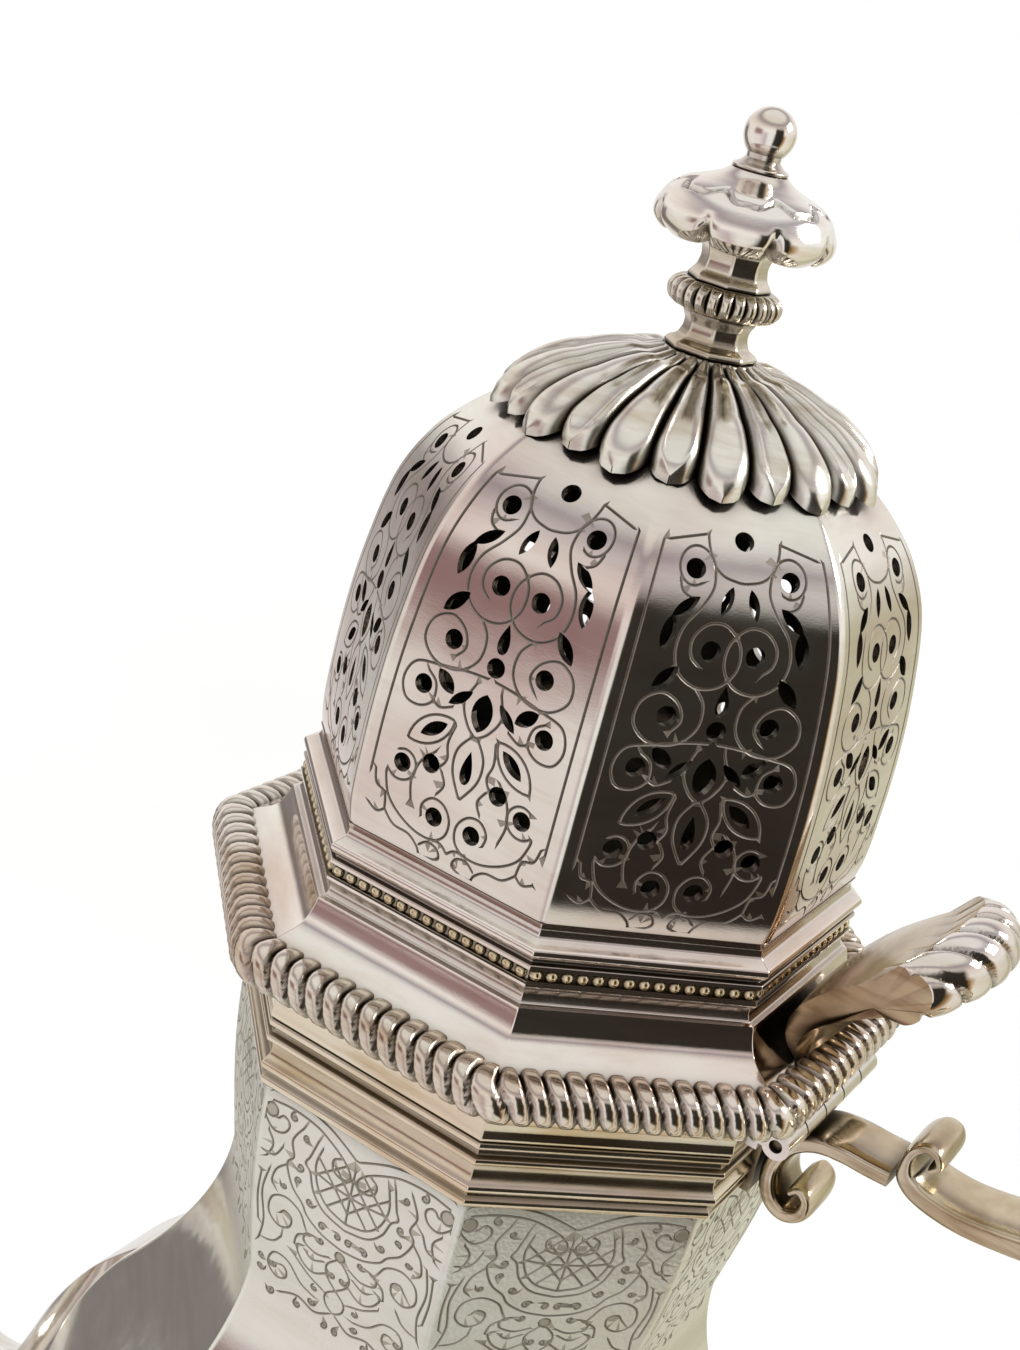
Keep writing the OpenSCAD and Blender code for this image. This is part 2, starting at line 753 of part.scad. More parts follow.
// Leaf-shaped piercings: middle, height, half length, half width, lean
paired_leaves = [[1.5, 37.7, 1.7, 0.6, 17], [6, 36.7, 1.9, 0.65, 50], [7.5, 34, 2.1, 0.8, 10],
    [6.9, 29.4, 1.9, 0.8, 42], [5.2, 20.9, 1.6, 0.85, -50], [3, 19.9, 1.7, 0.6, 48],
    [5.1, 15.4, 1.9, 0.75, 52]];
middle_leaves = [[0, 27.7, 1.7, 0.8, 0], [0, 19.3, 2.2, 1.3, 0], [0, 12.9, 2, 0.8, 0]];

// Pointed leaf, the overlap of two round discs
module leaf(half_len, half_w) {
    r = (half_len * half_len + half_w * half_w) / (2 * half_w);
    intersection() {
        translate([r - half_w, 0]) circle(r = r, $fn = 48);
        translate([half_w - r, 0]) circle(r = r, $fn = 48);
    }
}

module panel_piercings() {
    for (m = [0, 1])
        mirror([m, 0]) {
            for (e = paired_holes)
                translate(e) circle(r = hole_r, $fn = 24);
            for (f = paired_leaves)
                translate([f[0], f[1]]) rotate(f[4]) leaf(f[2] * piercing, f[3] * piercing);
        }
    for (e = middle_holes)
        translate(e) circle(r = hole_r, $fn = 24);
    for (f = middle_leaves)
        translate([f[0], f[1]]) rotate(f[4]) leaf(f[2] * piercing, f[3] * piercing);
}

module dome() {
    inner = inset(dome_line, dome_wall / flat);
    last = len(dome_line) - 1;
    dome_bore = (bolt_r + fit) / flat + fit;
    color(silver)
        difference() {
            octagon(concat(dome_line,
                [[dome_bore, crown_z], [dome_bore, crown_z - dome_wall]],
                [for (i = [last : -1 : 1]) inner[i]],
                [[dome_line[0][0] - dome_wall / flat, dome_z]]));
            for (k = [0 : sides - 1])
                rotate(side_angle * k)
                    translate([dome_r / 2, 0, dome_z])
                    rotate([90, 0, 90])
                    linear_extrude(dome_r) panel_piercings();
        }
}

// Height of the dome's ridge at corner radius r
function dome_top(r) = lookup(r, [for (i = [len(dome_line) - 1 : -1 : 0]) dome_line[i]]);

// Lobe of the crown: radius, height above the dome's ridge, half width and thickness
lobe_line = [[7, 0.9, 0.85, 1.7], [9.5, 0.5, 1.2, 1.8], [12.5, 0.35, 1.6, 1.9],
    [16, 0.3, 2.05, 2], [19.5, 0.3, 2.5, 2], [21.8, 0.4, 2.35, 1.7], [23, 0.7, 1.3, 0.9]];
boss_h = 5;

module crown() {
    wide = 360 / crown_lobes;
    k = crown_r / 23;
    bore = bolt_r + fit;
    color(silver)
        union() {
            rotate_extrude($fn = 64)
                polygon([[bore, crown_z + 0.1], [9, crown_z + 0.1], [12.6, crown_z - 0.55],
                    [14.4, crown_z - 1.1], [14.8, crown_z - 0.4], [12.2, crown_z + 1],
                    [9, crown_z + 2.9], [7.4, crown_z + 3.6], [5.8, crown_z + boss_h],
                    [bore, crown_z + boss_h]]);
            for (i = [0 : crown_lobes - 1])
                rotate(wide * (i + 0.5))
                    skin([for (s = lobe_line)
                        let (w = s[2] * k * (22 / crown_lobes) * (i % 2 == 0 ? 1.04 : 0.9))
                        [for (a = [180 : -36 : 0])
                            [s[0] * k, w * cos(a), dome_top(s[0] * k) + s[1] + s[3] * sin(a)]]]);
        }
}

// ---- finial ----

finial_z = crown_z + boss_h + fit;
knop_z = finial_z + 6.2;
stem_z = knop_z + 1.7;
cap_z = stem_z + finial_stem_h;
ball_z = cap_z + 11.2;

module finial_foot() {
    z = finial_z;
    color(silver)
        difference() {
            rotate_extrude($fn = 48)
                polygon([[0, z], [5.2, z], [5.3, z + 0.5], [4.6, z + 1], [3.7, z + 2.2],
                    [3.5, z + 3.2], [3.9, z + 4], [4.3, z + 4.5], [0, z + 4.5]]);
            translate([0, 0, z - 1])
                cylinder(h = 8, r = bolt_r + fit, $fn = 32);
        }
}

module finial_knop() {
    z = finial_z + 4.5 + fit;
    h = stem_z - z - fit;
    ribs = 24;
    color(silver)
        difference() {
            union() {
                translate([0, 0, z])
                    cylinder(h = h, r = knop_r - 0.6, $fn = 48);
                for (i = [0 : ribs - 1])
                    rotate(360 / ribs * i)
                        translate([knop_r - 0.8, 0, z + 0.1])
                        cylinder(h = h - 0.2, r = 0.78, $fn = 16);
            }
            translate([0, 0, z - 1])
                cylinder(h = h + 2, r = bolt_r + fit, $fn = 32);
        }
}

module finial_stem() {
    h = finial_stem_h - fit;
    color(silver)
        difference() {
            octagon([[0, stem_z], [4.6, stem_z], [4.4, stem_z + 0.12 * h], [3.9, stem_z + 0.35 * h],
                [4, stem_z + 0.6 * h], [4.5, stem_z + 0.85 * h], [5, stem_z + h],
                [0, stem_z + h]]);
            translate([0, 0, stem_z - 1])
                cylinder(h = 3, r = bolt_r + fit, $fn = 32);
        }
}

// Cap of eight petals that drape over its edge
module finial_cap() {
    z = cap_z;
    line = [[5.4, 0], [7.6, -0.6], [cap_r - 0.3, 0.2], [cap_r, 1.8], [cap_r - 0.8, 3.7],
        [cap_r - 2.6, 5.4], [cap_r - 4.6, 6.5], [3.2, 7.2]];
    n = 48;
    rings = [for (i = [0 : len(line) - 1])
        [for (k = [0 : n - 1])
            let (a = 360 * k / n, fold = pow(abs(cos(4 * a)), 0.7), low = i < 5 ? 1 : 0.35,
                r = line[i][0] - low * 0.9 * (1 - fold))
            [r * cos(a), r * sin(a), z + line[i][1] + (i > 0 && i < 4 ? 0.5 * (1 - fold) : 0)]]];
    color(silver)
        skin(rings);
}

module finial_ball() {
    z = cap_z + 7.2 + fit;
    color(silver)
        rotate_extrude($fn = 40)
        polygon(concat([[0, z], [3, z], [3.2, z + 0.4], [2.8, z + 0.8], [2, z + 1.1], [1.8, z + 1.5]],
            [for (a = [-55 : 14.5 : 90])
                [max(ball_r * cos(a), 0), ball_z + ball_r * sin(a)]]));
}

module finial_bolt() {
    color(silver)
        translate([0, 0, crown_z - 5.4])
        cylinder(h = stem_z + 1.8 - crown_z + 5.4, r = bolt_r, $fn = 32);
}

module finial_nut() {
    color(silver)
        translate([0, 0, crown_z - dome_wall - 0.1 - 2.4])
        difference() {
            cylinder(h = 2.4, r = 4, $fn = 6);
            translate([0, 0, -1])
                cylinder(h = 5, r = bolt_r + fit, $fn = 32);
        }
}

// ---- thumbpiece ----

// Thumbpiece at the share u of its half width: a narrow root on the slope, a hollow leaf
// that widens as it leans out over the hinge, and a roll along its crest
function thumb_ring(u) =
    let (s = sqrt(max(1 - u * u * 0.82, 0)),
        x0 = slope_r * flat + 0.15, z0 = cover_z + rim_h + 1.4,
        cx = x0 + 6.5 + 11 * s, cz = z0 + 8 + 9 * s, r = 1.7 + 2.5 * s,
        side = concat(
            [for (t = [0 : 0.25 : 1])
                let (lean = 1 - cos(90 * t))
                [x0 + 2.6 + lean * (cx - r * 0.3 - x0 - 2.6) - 1.8 * sin(180 * t) * s,
                    z0 - 0.85 + t * (cz - r - z0 + 0.85)]],
            [for (a = [-70 : 36 : 110])
                [cx + r * cos(a), cz + r * sin(a)]],
            [for (t = [1 : -0.25 : 0])
                let (lean = 1 - cos(90 * t))
                [x0 + 0.65 + lean * (cx - r - 0.65 - x0) - 1.8 * sin(180 * t) * s,
                    z0 + 1.05 + t * (cz - z0 - 1.05)]]))
    [for (p = side)
        [p[0], u * (thumb_root + (thumb_half - thumb_root) * (p[1] - z0) / (cz - z0)), p[1]]];

module thumbpiece() {
    color(silver)
        skin([for (u = [-1 : 0.125 : 1]) thumb_ring(u)]);
}

body_shell();
base_plate();
foot();
foot_wire();
neck_moulding();
rim_band();
spout();
spout_lip();
handle_plate();
handle_arm();
handle_scroll();
insulator_upper();
handle_grip();
insulator_lower();
handle_bracket();
handle_pins();
hinge_body();
hinge_pin();
hinge_cover();
cover_flange();
cover_bezel();
gadroon_rim();
bead_band();
dome_foot();
dome();
crown();
finial_foot();
finial_knop();
finial_stem();
finial_cap();
finial_ball();
finial_bolt();
finial_nut();
thumbpiece();
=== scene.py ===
import bpy
import math
import random
from bisect import bisect_right
from math import sin, cos, pi, radians, degrees, sqrt, hypot
from mathutils import Vector, Matrix, geometry


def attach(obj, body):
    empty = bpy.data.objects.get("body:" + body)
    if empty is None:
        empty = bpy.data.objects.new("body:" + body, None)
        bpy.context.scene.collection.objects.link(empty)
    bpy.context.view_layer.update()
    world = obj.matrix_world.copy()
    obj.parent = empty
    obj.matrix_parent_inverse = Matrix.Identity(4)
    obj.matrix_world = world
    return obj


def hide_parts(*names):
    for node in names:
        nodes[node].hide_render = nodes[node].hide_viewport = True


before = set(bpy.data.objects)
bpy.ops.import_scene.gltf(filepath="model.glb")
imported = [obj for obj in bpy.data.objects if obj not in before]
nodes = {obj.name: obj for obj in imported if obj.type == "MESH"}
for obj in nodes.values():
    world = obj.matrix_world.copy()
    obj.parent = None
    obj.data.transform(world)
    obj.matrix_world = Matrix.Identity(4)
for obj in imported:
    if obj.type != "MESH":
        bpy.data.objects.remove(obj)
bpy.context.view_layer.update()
scene = bpy.context.scene
scene.view_settings.view_transform = "Standard"

# lengths below are in mm like the drawing, mesh code turns them into metres
mm = 0.001
# flat radius and half side of an octagon, as shares of its corner radius
flat = cos(radians(22.5))
half = sin(radians(22.5))

pot = dict(mouthZ=183.0, mouthR=37.4, neckZ=168.0, waistR=34.0, waistZ=141.0,
           shoulderR=46.5, shoulderZ=114.0, bellyR=55.5, bellyZ=66.0,
           stemR=35.0, footH=15.0, footR=46.0, wall=1.2)
cover = dict(z=183.3, rimH=6.7, slopeR=36.0)
dome = dict(z=203.8, r=34.8, h=52.0, wall=1.1, arris=1.6)


def catmull(pts, n):
    # smooth curve through the points, in n steps between each two
    out = []
    for i in range(len(pts) - 1):
        a = pts[max(i - 1, 0)]
        b, c = pts[i], pts[i + 1]
        d = pts[min(i + 2, len(pts) - 1)]
        for j in range(n):
            t = j / n
            out.append(tuple(0.5 * (2 * q + (r - p) * t + (2 * p - 5 * q + 4 * r - s) * t * t
                                    + (3 * q - p - 3 * r + s) * t ** 3)
                             for p, q, r, s in zip(a, b, c, d)))
    out.append(tuple(pts[-1]))
    return out


def resample(path, step):
    # even spacing along a polyline
    out = [path[0]]
    left = step
    for a, b in zip(path[:-1], path[1:]):
        seg = hypot(b[0] - a[0], b[1] - a[1])
        if seg < 1e-9:
            continue
        pos = left
        while pos <= seg:
            t = pos / seg
            out.append((a[0] + (b[0] - a[0]) * t, a[1] + (b[1] - a[1]) * t))
            pos += step
        left = pos - seg
    out.append(path[-1])
    return out


def fillet(pts, radius, n=4, closed=True):
    # rounds the corners of a profile
    out = []
    m = len(pts)
    for i, p in enumerate(pts):
        if not closed and i in (0, m - 1):
            out.append(p)
            continue
        a, b = pts[i - 1], pts[(i + 1) % m]
        va = (a[0] - p[0], a[1] - p[1])
        vb = (b[0] - p[0], b[1] - p[1])
        la, lb = hypot(*va), hypot(*vb)
        r = min(radius, la * 0.45, lb * 0.45)
        pa = (p[0] + va[0] / la * r, p[1] + va[1] / la * r)
        pb = (p[0] + vb[0] / lb * r, p[1] + vb[1] / lb * r)
        for j in range(n + 1):
            t = j / n
            out.append(tuple((1 - t) ** 2 * u + 2 * t * (1 - t) * v + t * t * w
                             for u, v, w in zip(pa, p, pb)))
    return out


def shifted(r, z, pts, scale=1):
    # profile points given from a radius and a height, heights times scale
    return [(r + x, z + y * scale) for x, y in pts]


def polar(r, a, x=0, y=0):
    return x + r * cos(a), y + r * sin(a)


def spiral(cx, cy, r0, r1, a0, a1, n=26):
    return [polar(r0 + (r1 - r0) * i / n, radians(a0 + (a1 - a0) * i / n), cx, cy) for i in range(n + 1)]


def place(name, me, body, replaces):
    ob = bpy.data.objects.new(name, me)
    scene.collection.objects.link(ob)
    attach(ob, body)
    if replaces:
        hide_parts(*replaces)
    return ob


def smoothMesh(name, verts, faces, mats):
    me = bpy.data.meshes.new(name)
    me.from_pydata([(x * mm, y * mm, z * mm) for x, y, z in verts], [], faces)
    me.update()
    for m in mats:
        me.materials.append(m)
    me.polygons.foreach_set("use_smooth", [True] * len(faces))
    return me


def plainMesh(name, verts, faces, mats, body, replaces=(), sharp=40):
    me = smoothMesh(name, verts, faces, mats)
    me.set_sharp_from_angle(angle=radians(sharp))
    return place(name, me, body, replaces)


class Builder:
    # collects faces with their own corner normals

    def __init__(self):
        self.verts, self.faces, self.normals, self.slots = [], [], [], []

    def vert(self, p):
        self.verts.append(p)
        return len(self.verts) - 1

    def face(self, ids, normals=None, slot=0):
        self.faces.append(ids)
        self.normals.append(normals)
        self.slots.append(slot)

    def make(self, name, mats, body, replaces=(), slot=None):
        me = smoothMesh(name, self.verts, self.faces, mats)
        me.polygons.foreach_set("material_index", self.slots)
        loops = []
        for poly, ns in zip(me.polygons, self.normals):
            loops += [tuple(poly.normal)] * poly.loop_total if ns is None else ns
        me.normals_split_custom_set(loops)
        return place(name, me, body, replaces)


def gridFaces(rows, cols, closedRows=False, closedCols=True):
    out = []
    for i in range(rows if closedRows else rows - 1):
        for j in range(cols if closedCols else cols - 1):
            i2, j2 = (i + 1) % rows, (j + 1) % cols
            out.append((i * cols + j, i * cols + j2, i2 * cols + j2, i2 * cols + j))
    return out


def cappedTube(rows, cols):
    # faces of a tube of rings with a cap at each end
    return gridFaces(rows, cols) + [tuple(reversed(range(cols))),
                                    tuple(range((rows - 1) * cols, rows * cols))]


def octLathe(name, profile, mat, body, replaces=(), slot=None, arris=0.6, steps=5):
    # eight-sided turned shape with softened arrises, closed profile of corner radius and height
    b = Builder()
    dirs = []
    for k in range(8):
        a = radians(45 * k + 22.5)
        dirs += [(a, a + radians(-22.5 + 45 * j / steps)) for j in range(steps + 1)]
    cols, rows = len(dirs), len(profile)
    for r, z in profile:
        c = min(arris, r * 0.4)
        d = r - c / flat
        for a, q in dirs:
            b.vert((d * cos(a) + c * cos(q), d * sin(a) + c * sin(q), z))
    segs = []
    for i in range(rows):
        p, q = profile[i], profile[(i + 1) % rows]
        dx, dz = (q[0] - p[0]) * flat, q[1] - p[1]
        n = hypot(dx, dz) or 1
        segs.append((dz / n, -dx / n, n))

    def normalAt(i, s):
        # blend with the neighbour segment unless the corner is a real edge
        o = segs[(i - 1) % rows] if s == i else segs[i % rows]
        m = segs[s]
        if m[0] * o[0] + m[1] * o[1] < 0.75:
            return m[0], m[1]
        x, z = m[0] * m[2] + o[0] * o[2], m[1] * m[2] + o[1] * o[2]
        n = hypot(x, z) or 1
        return x / n, z / n

    for i in range(rows):
        i2 = (i + 1) % rows
        lo, hi = normalAt(i, i), normalAt(i2, i)
        for j in range(cols):
            j2 = (j + 1) % cols
            qa, qb = dirs[j][1], dirs[j2][1]
            ids = (i * cols + j, i * cols + j2, i2 * cols + j2, i2 * cols + j)
            b.face(ids, [(cos(q) * m[0], sin(q) * m[0], m[1])
                         for q, m in ((qa, lo), (qb, lo), (qb, hi), (qa, hi))])
    return b.make(name, [mat], body, replaces, slot)


def turned(name, profile, mat, body, replaces=(), n=96, closed=False):
    # round turned shape
    verts = [(*polar(r, 2 * pi * j / n), z) for r, z in profile for j in range(n)]
    return plainMesh(name, verts, gridFaces(len(profile), n, closed), [mat], body, replaces)


def feed(nt, value, socket):
    # links a socket, or sets its number or colour
    if isinstance(value, bpy.types.NodeSocket):
        nt.links.new(value, socket)
    else:
        socket.default_value = (*value, 1) if socket.type == "RGBA" else value


def addNode(nt, kind, inputs={}, **settings):
    n = nt.nodes.new("ShaderNode" + kind)
    for key, value in settings.items():
        setattr(n, key, value)
    for key, value in inputs.items():
        feed(nt, value, n.inputs[key])
    return n


def mathNode(nt, op, a, b):
    return addNode(nt, "Math", {0: a, 1: b}, operation=op).outputs[0]


def noiseNode(nt, coord, scale, detail=4.0, rough=0.55, stretch=None):
    if stretch:
        coord = addNode(nt, "Mapping", {"Vector": coord, "Scale": stretch}).outputs[0]
    return addNode(nt, "TexNoise", {"Vector": coord, "Scale": scale, "Detail": detail,
                                    "Roughness": rough}).outputs[0]


def rampNode(nt, fac, stops):
    n = addNode(nt, "ValToRGB", {0: fac})
    e = n.color_ramp.elements
    while len(e) < len(stops):
        e.new(0.5)
    for el, (pos, col) in zip(e, stops):
        el.position = pos
        el.color = (*col, 1)
    return n.outputs[0]


def rise(nt, fac, low, high, top=1):
    # from 0 at low up to top at high
    return rampNode(nt, fac, [(low, (0, 0, 0)), (high, (top,) * 3)])


def mixColor(nt, fac, a, b):
    return addNode(nt, "Mix", {0: fac, 6: a, 7: b}, data_type="RGBA").outputs[2]


def bumpNode(nt, height, strength, distance, normal=None):
    inputs = {"Height": height, "Strength": strength, "Distance": distance}
    if normal is not None:
        inputs["Normal"] = normal
    return addNode(nt, "Bump", inputs).outputs[0]


def newMaterial(name):
    mat = bpy.data.materials.new(name)
    mat.use_nodes = True
    nt = mat.node_tree
    return mat, nt, nt.nodes["Principled BSDF"], addNode(nt, "TexCoord").outputs["Object"]


# sizes of the metal's wear and of the painted shade in its hollows, in metres, and how strongly they show
wearAndShade = dict(hollowReach=0.0022, hollowGain=1.7, hollowTarnishShade=0.12, hollowRough=0.3,
            dent=0.12, dentDepth=0.0006, grain=0.05, grainDepth=0.0001,
            stippleDepth=0.00012, polished=0.07, matteEdge=0.003)


def metalMaterial(name, base, tarnish, tint, rough, roughSpread, tarnishAmount,
                  tintAmount=0.25, crevice=0.8, stipple=0.0, matteAbove=None):
    # polished metal with tarnish and painted shade in its hollows, colour drift, smears and slight dents
    mat, nt, bsdf, geo = newMaterial(name)
    feed(nt, 1.0, bsdf.inputs["Metallic"])
    drift = noiseNode(nt, geo, 28.0, 3.0)
    patches = noiseNode(nt, geo, 85.0, 6.0, 0.65)
    streak = noiseNode(nt, geo, 60.0, 4.0, 0.6, (1, 1, 7))
    # painted shade: hollows found by ambient occlusion are darkened to near-black, partly as tarnish and
    # partly as shade
    ao = addNode(nt, "AmbientOcclusion", {"Distance": wearAndShade["hollowReach"]}, samples=6)
    hollow = mathNode(nt, "SUBTRACT", 1.0, ao.outputs["AO"])
    hollow = mathNode(nt, "MULTIPLY", hollow, wearAndShade["hollowGain"] * crevice)
    hollow = addNode(nt, "Clamp", {0: hollow}).outputs[0]
    tinted = mixColor(nt, rise(nt, drift, 0.42, 0.62, tintAmount), base, tint)
    patch = mathNode(nt, "MULTIPLY", rise(nt, streak, 0.45, 0.7), tarnishAmount)
    warm = mixColor(nt, patch, tinted, tarnish)
    # painted shade: the hollows' colour is the tarnish colour made near-black
    dark = tuple(c * wearAndShade["hollowTarnishShade"] for c in tarnish)
    feed(nt, mixColor(nt, hollow, warm, dark), bsdf.inputs["Base Color"])
    r = mathNode(nt, "MULTIPLY", rise(nt, patches, 0.4, 0.75), roughSpread)
    matte = None
    if matteAbove:
        # matte where it is engraved, polished below
        z = addNode(nt, "SeparateXYZ", {0: geo}).outputs[2]
        matte = addNode(nt, "MapRange", {0: z, 1: matteAbove - wearAndShade["matteEdge"],
                                         2: matteAbove + wearAndShade["matteEdge"]}).outputs[0]
        r = mathNode(nt, "ADD", r, mathNode(nt, "MULTIPLY", matte, rough - wearAndShade["polished"]))
    r = mathNode(nt, "ADD", r, wearAndShade["polished"] if matteAbove else rough)
    r = mathNode(nt, "ADD", r, mathNode(nt, "MULTIPLY", hollow, wearAndShade["hollowRough"]))
    feed(nt, r, bsdf.inputs["Roughness"])
    bump = bumpNode(nt, noiseNode(nt, geo, 120.0, 2.0), wearAndShade["dent"], wearAndShade["dentDepth"])
    bump = bumpNode(nt, noiseNode(nt, geo, 1800.0, 3.0, 0.6, (1, 1, 3)), wearAndShade["grain"],
                    wearAndShade["grainDepth"], bump)
    if stipple:
        high = addNode(nt, "TexVoronoi", {"Vector": geo, "Scale": 1900.0}).outputs["Distance"]
        if matte is not None:
            high = mathNode(nt, "MULTIPLY", high, matte)
        bump = bumpNode(nt, high, stipple, wearAndShade["stippleDepth"], bump)
    feed(nt, bump, bsdf.inputs["Normal"])
    return mat


# base, tarnish and tint colours, roughness and its spread, share of tarnish, of tint, and of dark hollows
# (tarnish with painted shade)
silver = metalMaterial("silver", (0.84, 0.82, 0.76), (0.52, 0.38, 0.20), (0.72, 0.62, 0.58),
                       0.07, 0.1, 0.3, 0.5)
domeSilver = metalMaterial("domeSilver", (0.83, 0.81, 0.73), (0.50, 0.34, 0.22), (0.66, 0.53, 0.49),
                           0.09, 0.1, 0.22, 0.75)
neckSilver = metalMaterial("neckSilver", (0.84, 0.84, 0.77), (0.60, 0.58, 0.45), (0.76, 0.77, 0.68),
                           0.42, 0.1, 0.25, 0.5, stipple=0.3, matteAbove=0.1375)
oldSilver = metalMaterial("oldSilver", (0.74, 0.69, 0.58), (0.36, 0.25, 0.11), (0.64, 0.52, 0.44),
                          0.1, 0.12, 0.7, 0.6, 1.1)
gilt = metalMaterial("gilt", (0.66, 0.57, 0.40), (0.30, 0.19, 0.08), (0.56, 0.50, 0.40),
                     0.14, 0.12, 0.75, 0.5, 1.0)
cutSilver = metalMaterial("cutSilver", (0.40, 0.36, 0.31), (0.16, 0.11, 0.07), (0.34, 0.30, 0.27),
                          0.38, 0.1, 0.4, crevice=1.0)
ropeSilver = metalMaterial("ropeSilver", (0.80, 0.75, 0.66), (0.36, 0.23, 0.10), (0.72, 0.58, 0.48),
                           0.12, 0.1, 0.6, 0.6, 1.1)
slopeSilver = metalMaterial("slopeSilver", (0.86, 0.83, 0.76), (0.50, 0.34, 0.18), (0.80, 0.66, 0.60),
                            0.06, 0.08, 0.3, 0.6)
crownSilver = metalMaterial("crownSilver", (0.82, 0.80, 0.72), (0.40, 0.27, 0.13), (0.72, 0.66, 0.58),
                            0.16, 0.1, 0.45, 0.5, 1.1)
capSilver = metalMaterial("capSilver", (0.86, 0.83, 0.77), (0.50, 0.36, 0.18), (0.80, 0.68, 0.60),
                          0.08, 0.08, 0.35, 0.4)
mouldSilver = metalMaterial("mouldSilver", (0.80, 0.73, 0.58), (0.46, 0.31, 0.11), (0.72, 0.58, 0.44),
                            0.1, 0.1, 0.6, 0.6, 1.0)
beadGilt = metalMaterial("beadGilt", (0.80, 0.70, 0.48), (0.44, 0.30, 0.10), (0.74, 0.60, 0.40),
                         0.14, 0.1, 0.5, 0.5)
leafGilt = metalMaterial("leafGilt", (0.56, 0.44, 0.28), (0.24, 0.14, 0.06), (0.46, 0.34, 0.22),
                         0.16, 0.12, 0.8, 0.6, 1.0)
neckCut = metalMaterial("neckCut", (0.52, 0.50, 0.42), (0.26, 0.21, 0.13), (0.46, 0.44, 0.38),
                        0.42, 0.1, 0.3)


def boneMaterial():
    mat, nt, bsdf, geo = newMaterial("bone")
    grain = noiseNode(nt, geo, 400.0, 5.0, 0.6, (1, 1, 0.2))
    col = rampNode(nt, grain, [(0.3, (0.62, 0.53, 0.36)), (0.6, (0.80, 0.73, 0.57)),
                               (0.8, (0.86, 0.81, 0.68))])
    for key, value in {"Base Color": col, "Roughness": 0.35, "Subsurface Weight": 0.1,
                       "Normal": bumpNode(nt, grain, 0.15, 0.0002)}.items():
        feed(nt, value, bsdf.inputs[key])
    return mat


bone = boneMaterial()
print("materials done")


view = dict(place=(0.08648, -0.19458, 0.30004), azimuth=27.4, elevation=21.3, roll=14.3, lens=50.4)


def aimCamera():
    az, el, roll = (radians(view[k]) for k in ("azimuth", "elevation", "roll"))
    back = Vector((sin(az) * cos(el), -cos(az) * cos(el), sin(el)))
    right = Vector((0, 0, 1)).cross(back).normalized()
    up = back.cross(right)
    r = right * cos(roll) + up * sin(roll)
    u = up * cos(roll) - right * sin(roll)
    data = bpy.data.cameras.new("camera")
    data.sensor_fit = "VERTICAL"
    data.sensor_height = 36
    data.lens = view["lens"]
    data.clip_start = 0.01
    cam = bpy.data.objects.new("camera", data)
    m = Matrix((r, u, back)).transposed().to_4x4()
    m.translation = view["place"]
    cam.matrix_world = m
    scene.collection.objects.link(cam)
    scene.camera = cam


def areaLight(name, spot, target, size, power):
    data = bpy.data.lights.new(name, "AREA")
    data.shape = "RECTANGLE"
    data.size, data.size_y = size
    data.energy = power
    ob = bpy.data.objects.new(name, data)
    ob.location = spot
    ob.rotation_euler = (Vector(target) - Vector(spot)).to_track_quat("-Z", "Y").to_euler()
    scene.collection.objects.link(ob)
    return ob


# the room that the metal mirrors: colours round the horizon, from -X through -Y, +X and +Y back
# to -X, and colours by height, from straight down to straight up
room = dict(
    ring=[(0.00, (0.80, 0.78, 0.76)), (0.07, (0.92, 0.90, 0.88)), (0.20, (0.86, 0.80, 0.80)),
          (0.27, (0.62, 0.52, 0.56)), (0.31, (0.95, 0.95, 0.95)), (0.36, (0.90, 0.90, 0.90)),
          (0.385, (0.04, 0.035, 0.03)), (0.475, (0.03, 0.025, 0.02)), (0.50, (0.45, 0.28, 0.12)),
          (0.53, (0.92, 0.88, 0.80)), (0.64, (0.80, 0.78, 0.66)), (0.67, (0.55, 0.52, 0.38)),
          (0.72, (0.70, 0.67, 0.54)), (0.75, (0.90, 0.88, 0.86)), (0.90, (0.88, 0.86, 0.85)),
          (0.94, (0.25, 0.22, 0.22))],
    sky=[(0.0, (0.75, 0.74, 0.72)), (0.5, (0.9, 0.9, 0.9)), (0.62, (1.0, 0.98, 0.97)),
         (0.74, (0.92, 0.87, 0.86)), (0.86, (0.42, 0.38, 0.42)), (0.93, (0.9, 0.89, 0.88))],
    opening=(0.36, 0.385, 0.475, 0.50), ground=(0.86, 0.86, 0.80),
    plumTurn=(0.10, 0.14, 0.20, 0.24), plumHeight=(0.40, 0.48, 0.58, 0.68),
    plum=(0.26, 0.13, 0.14), plumShare=0.85, fill=0.75)


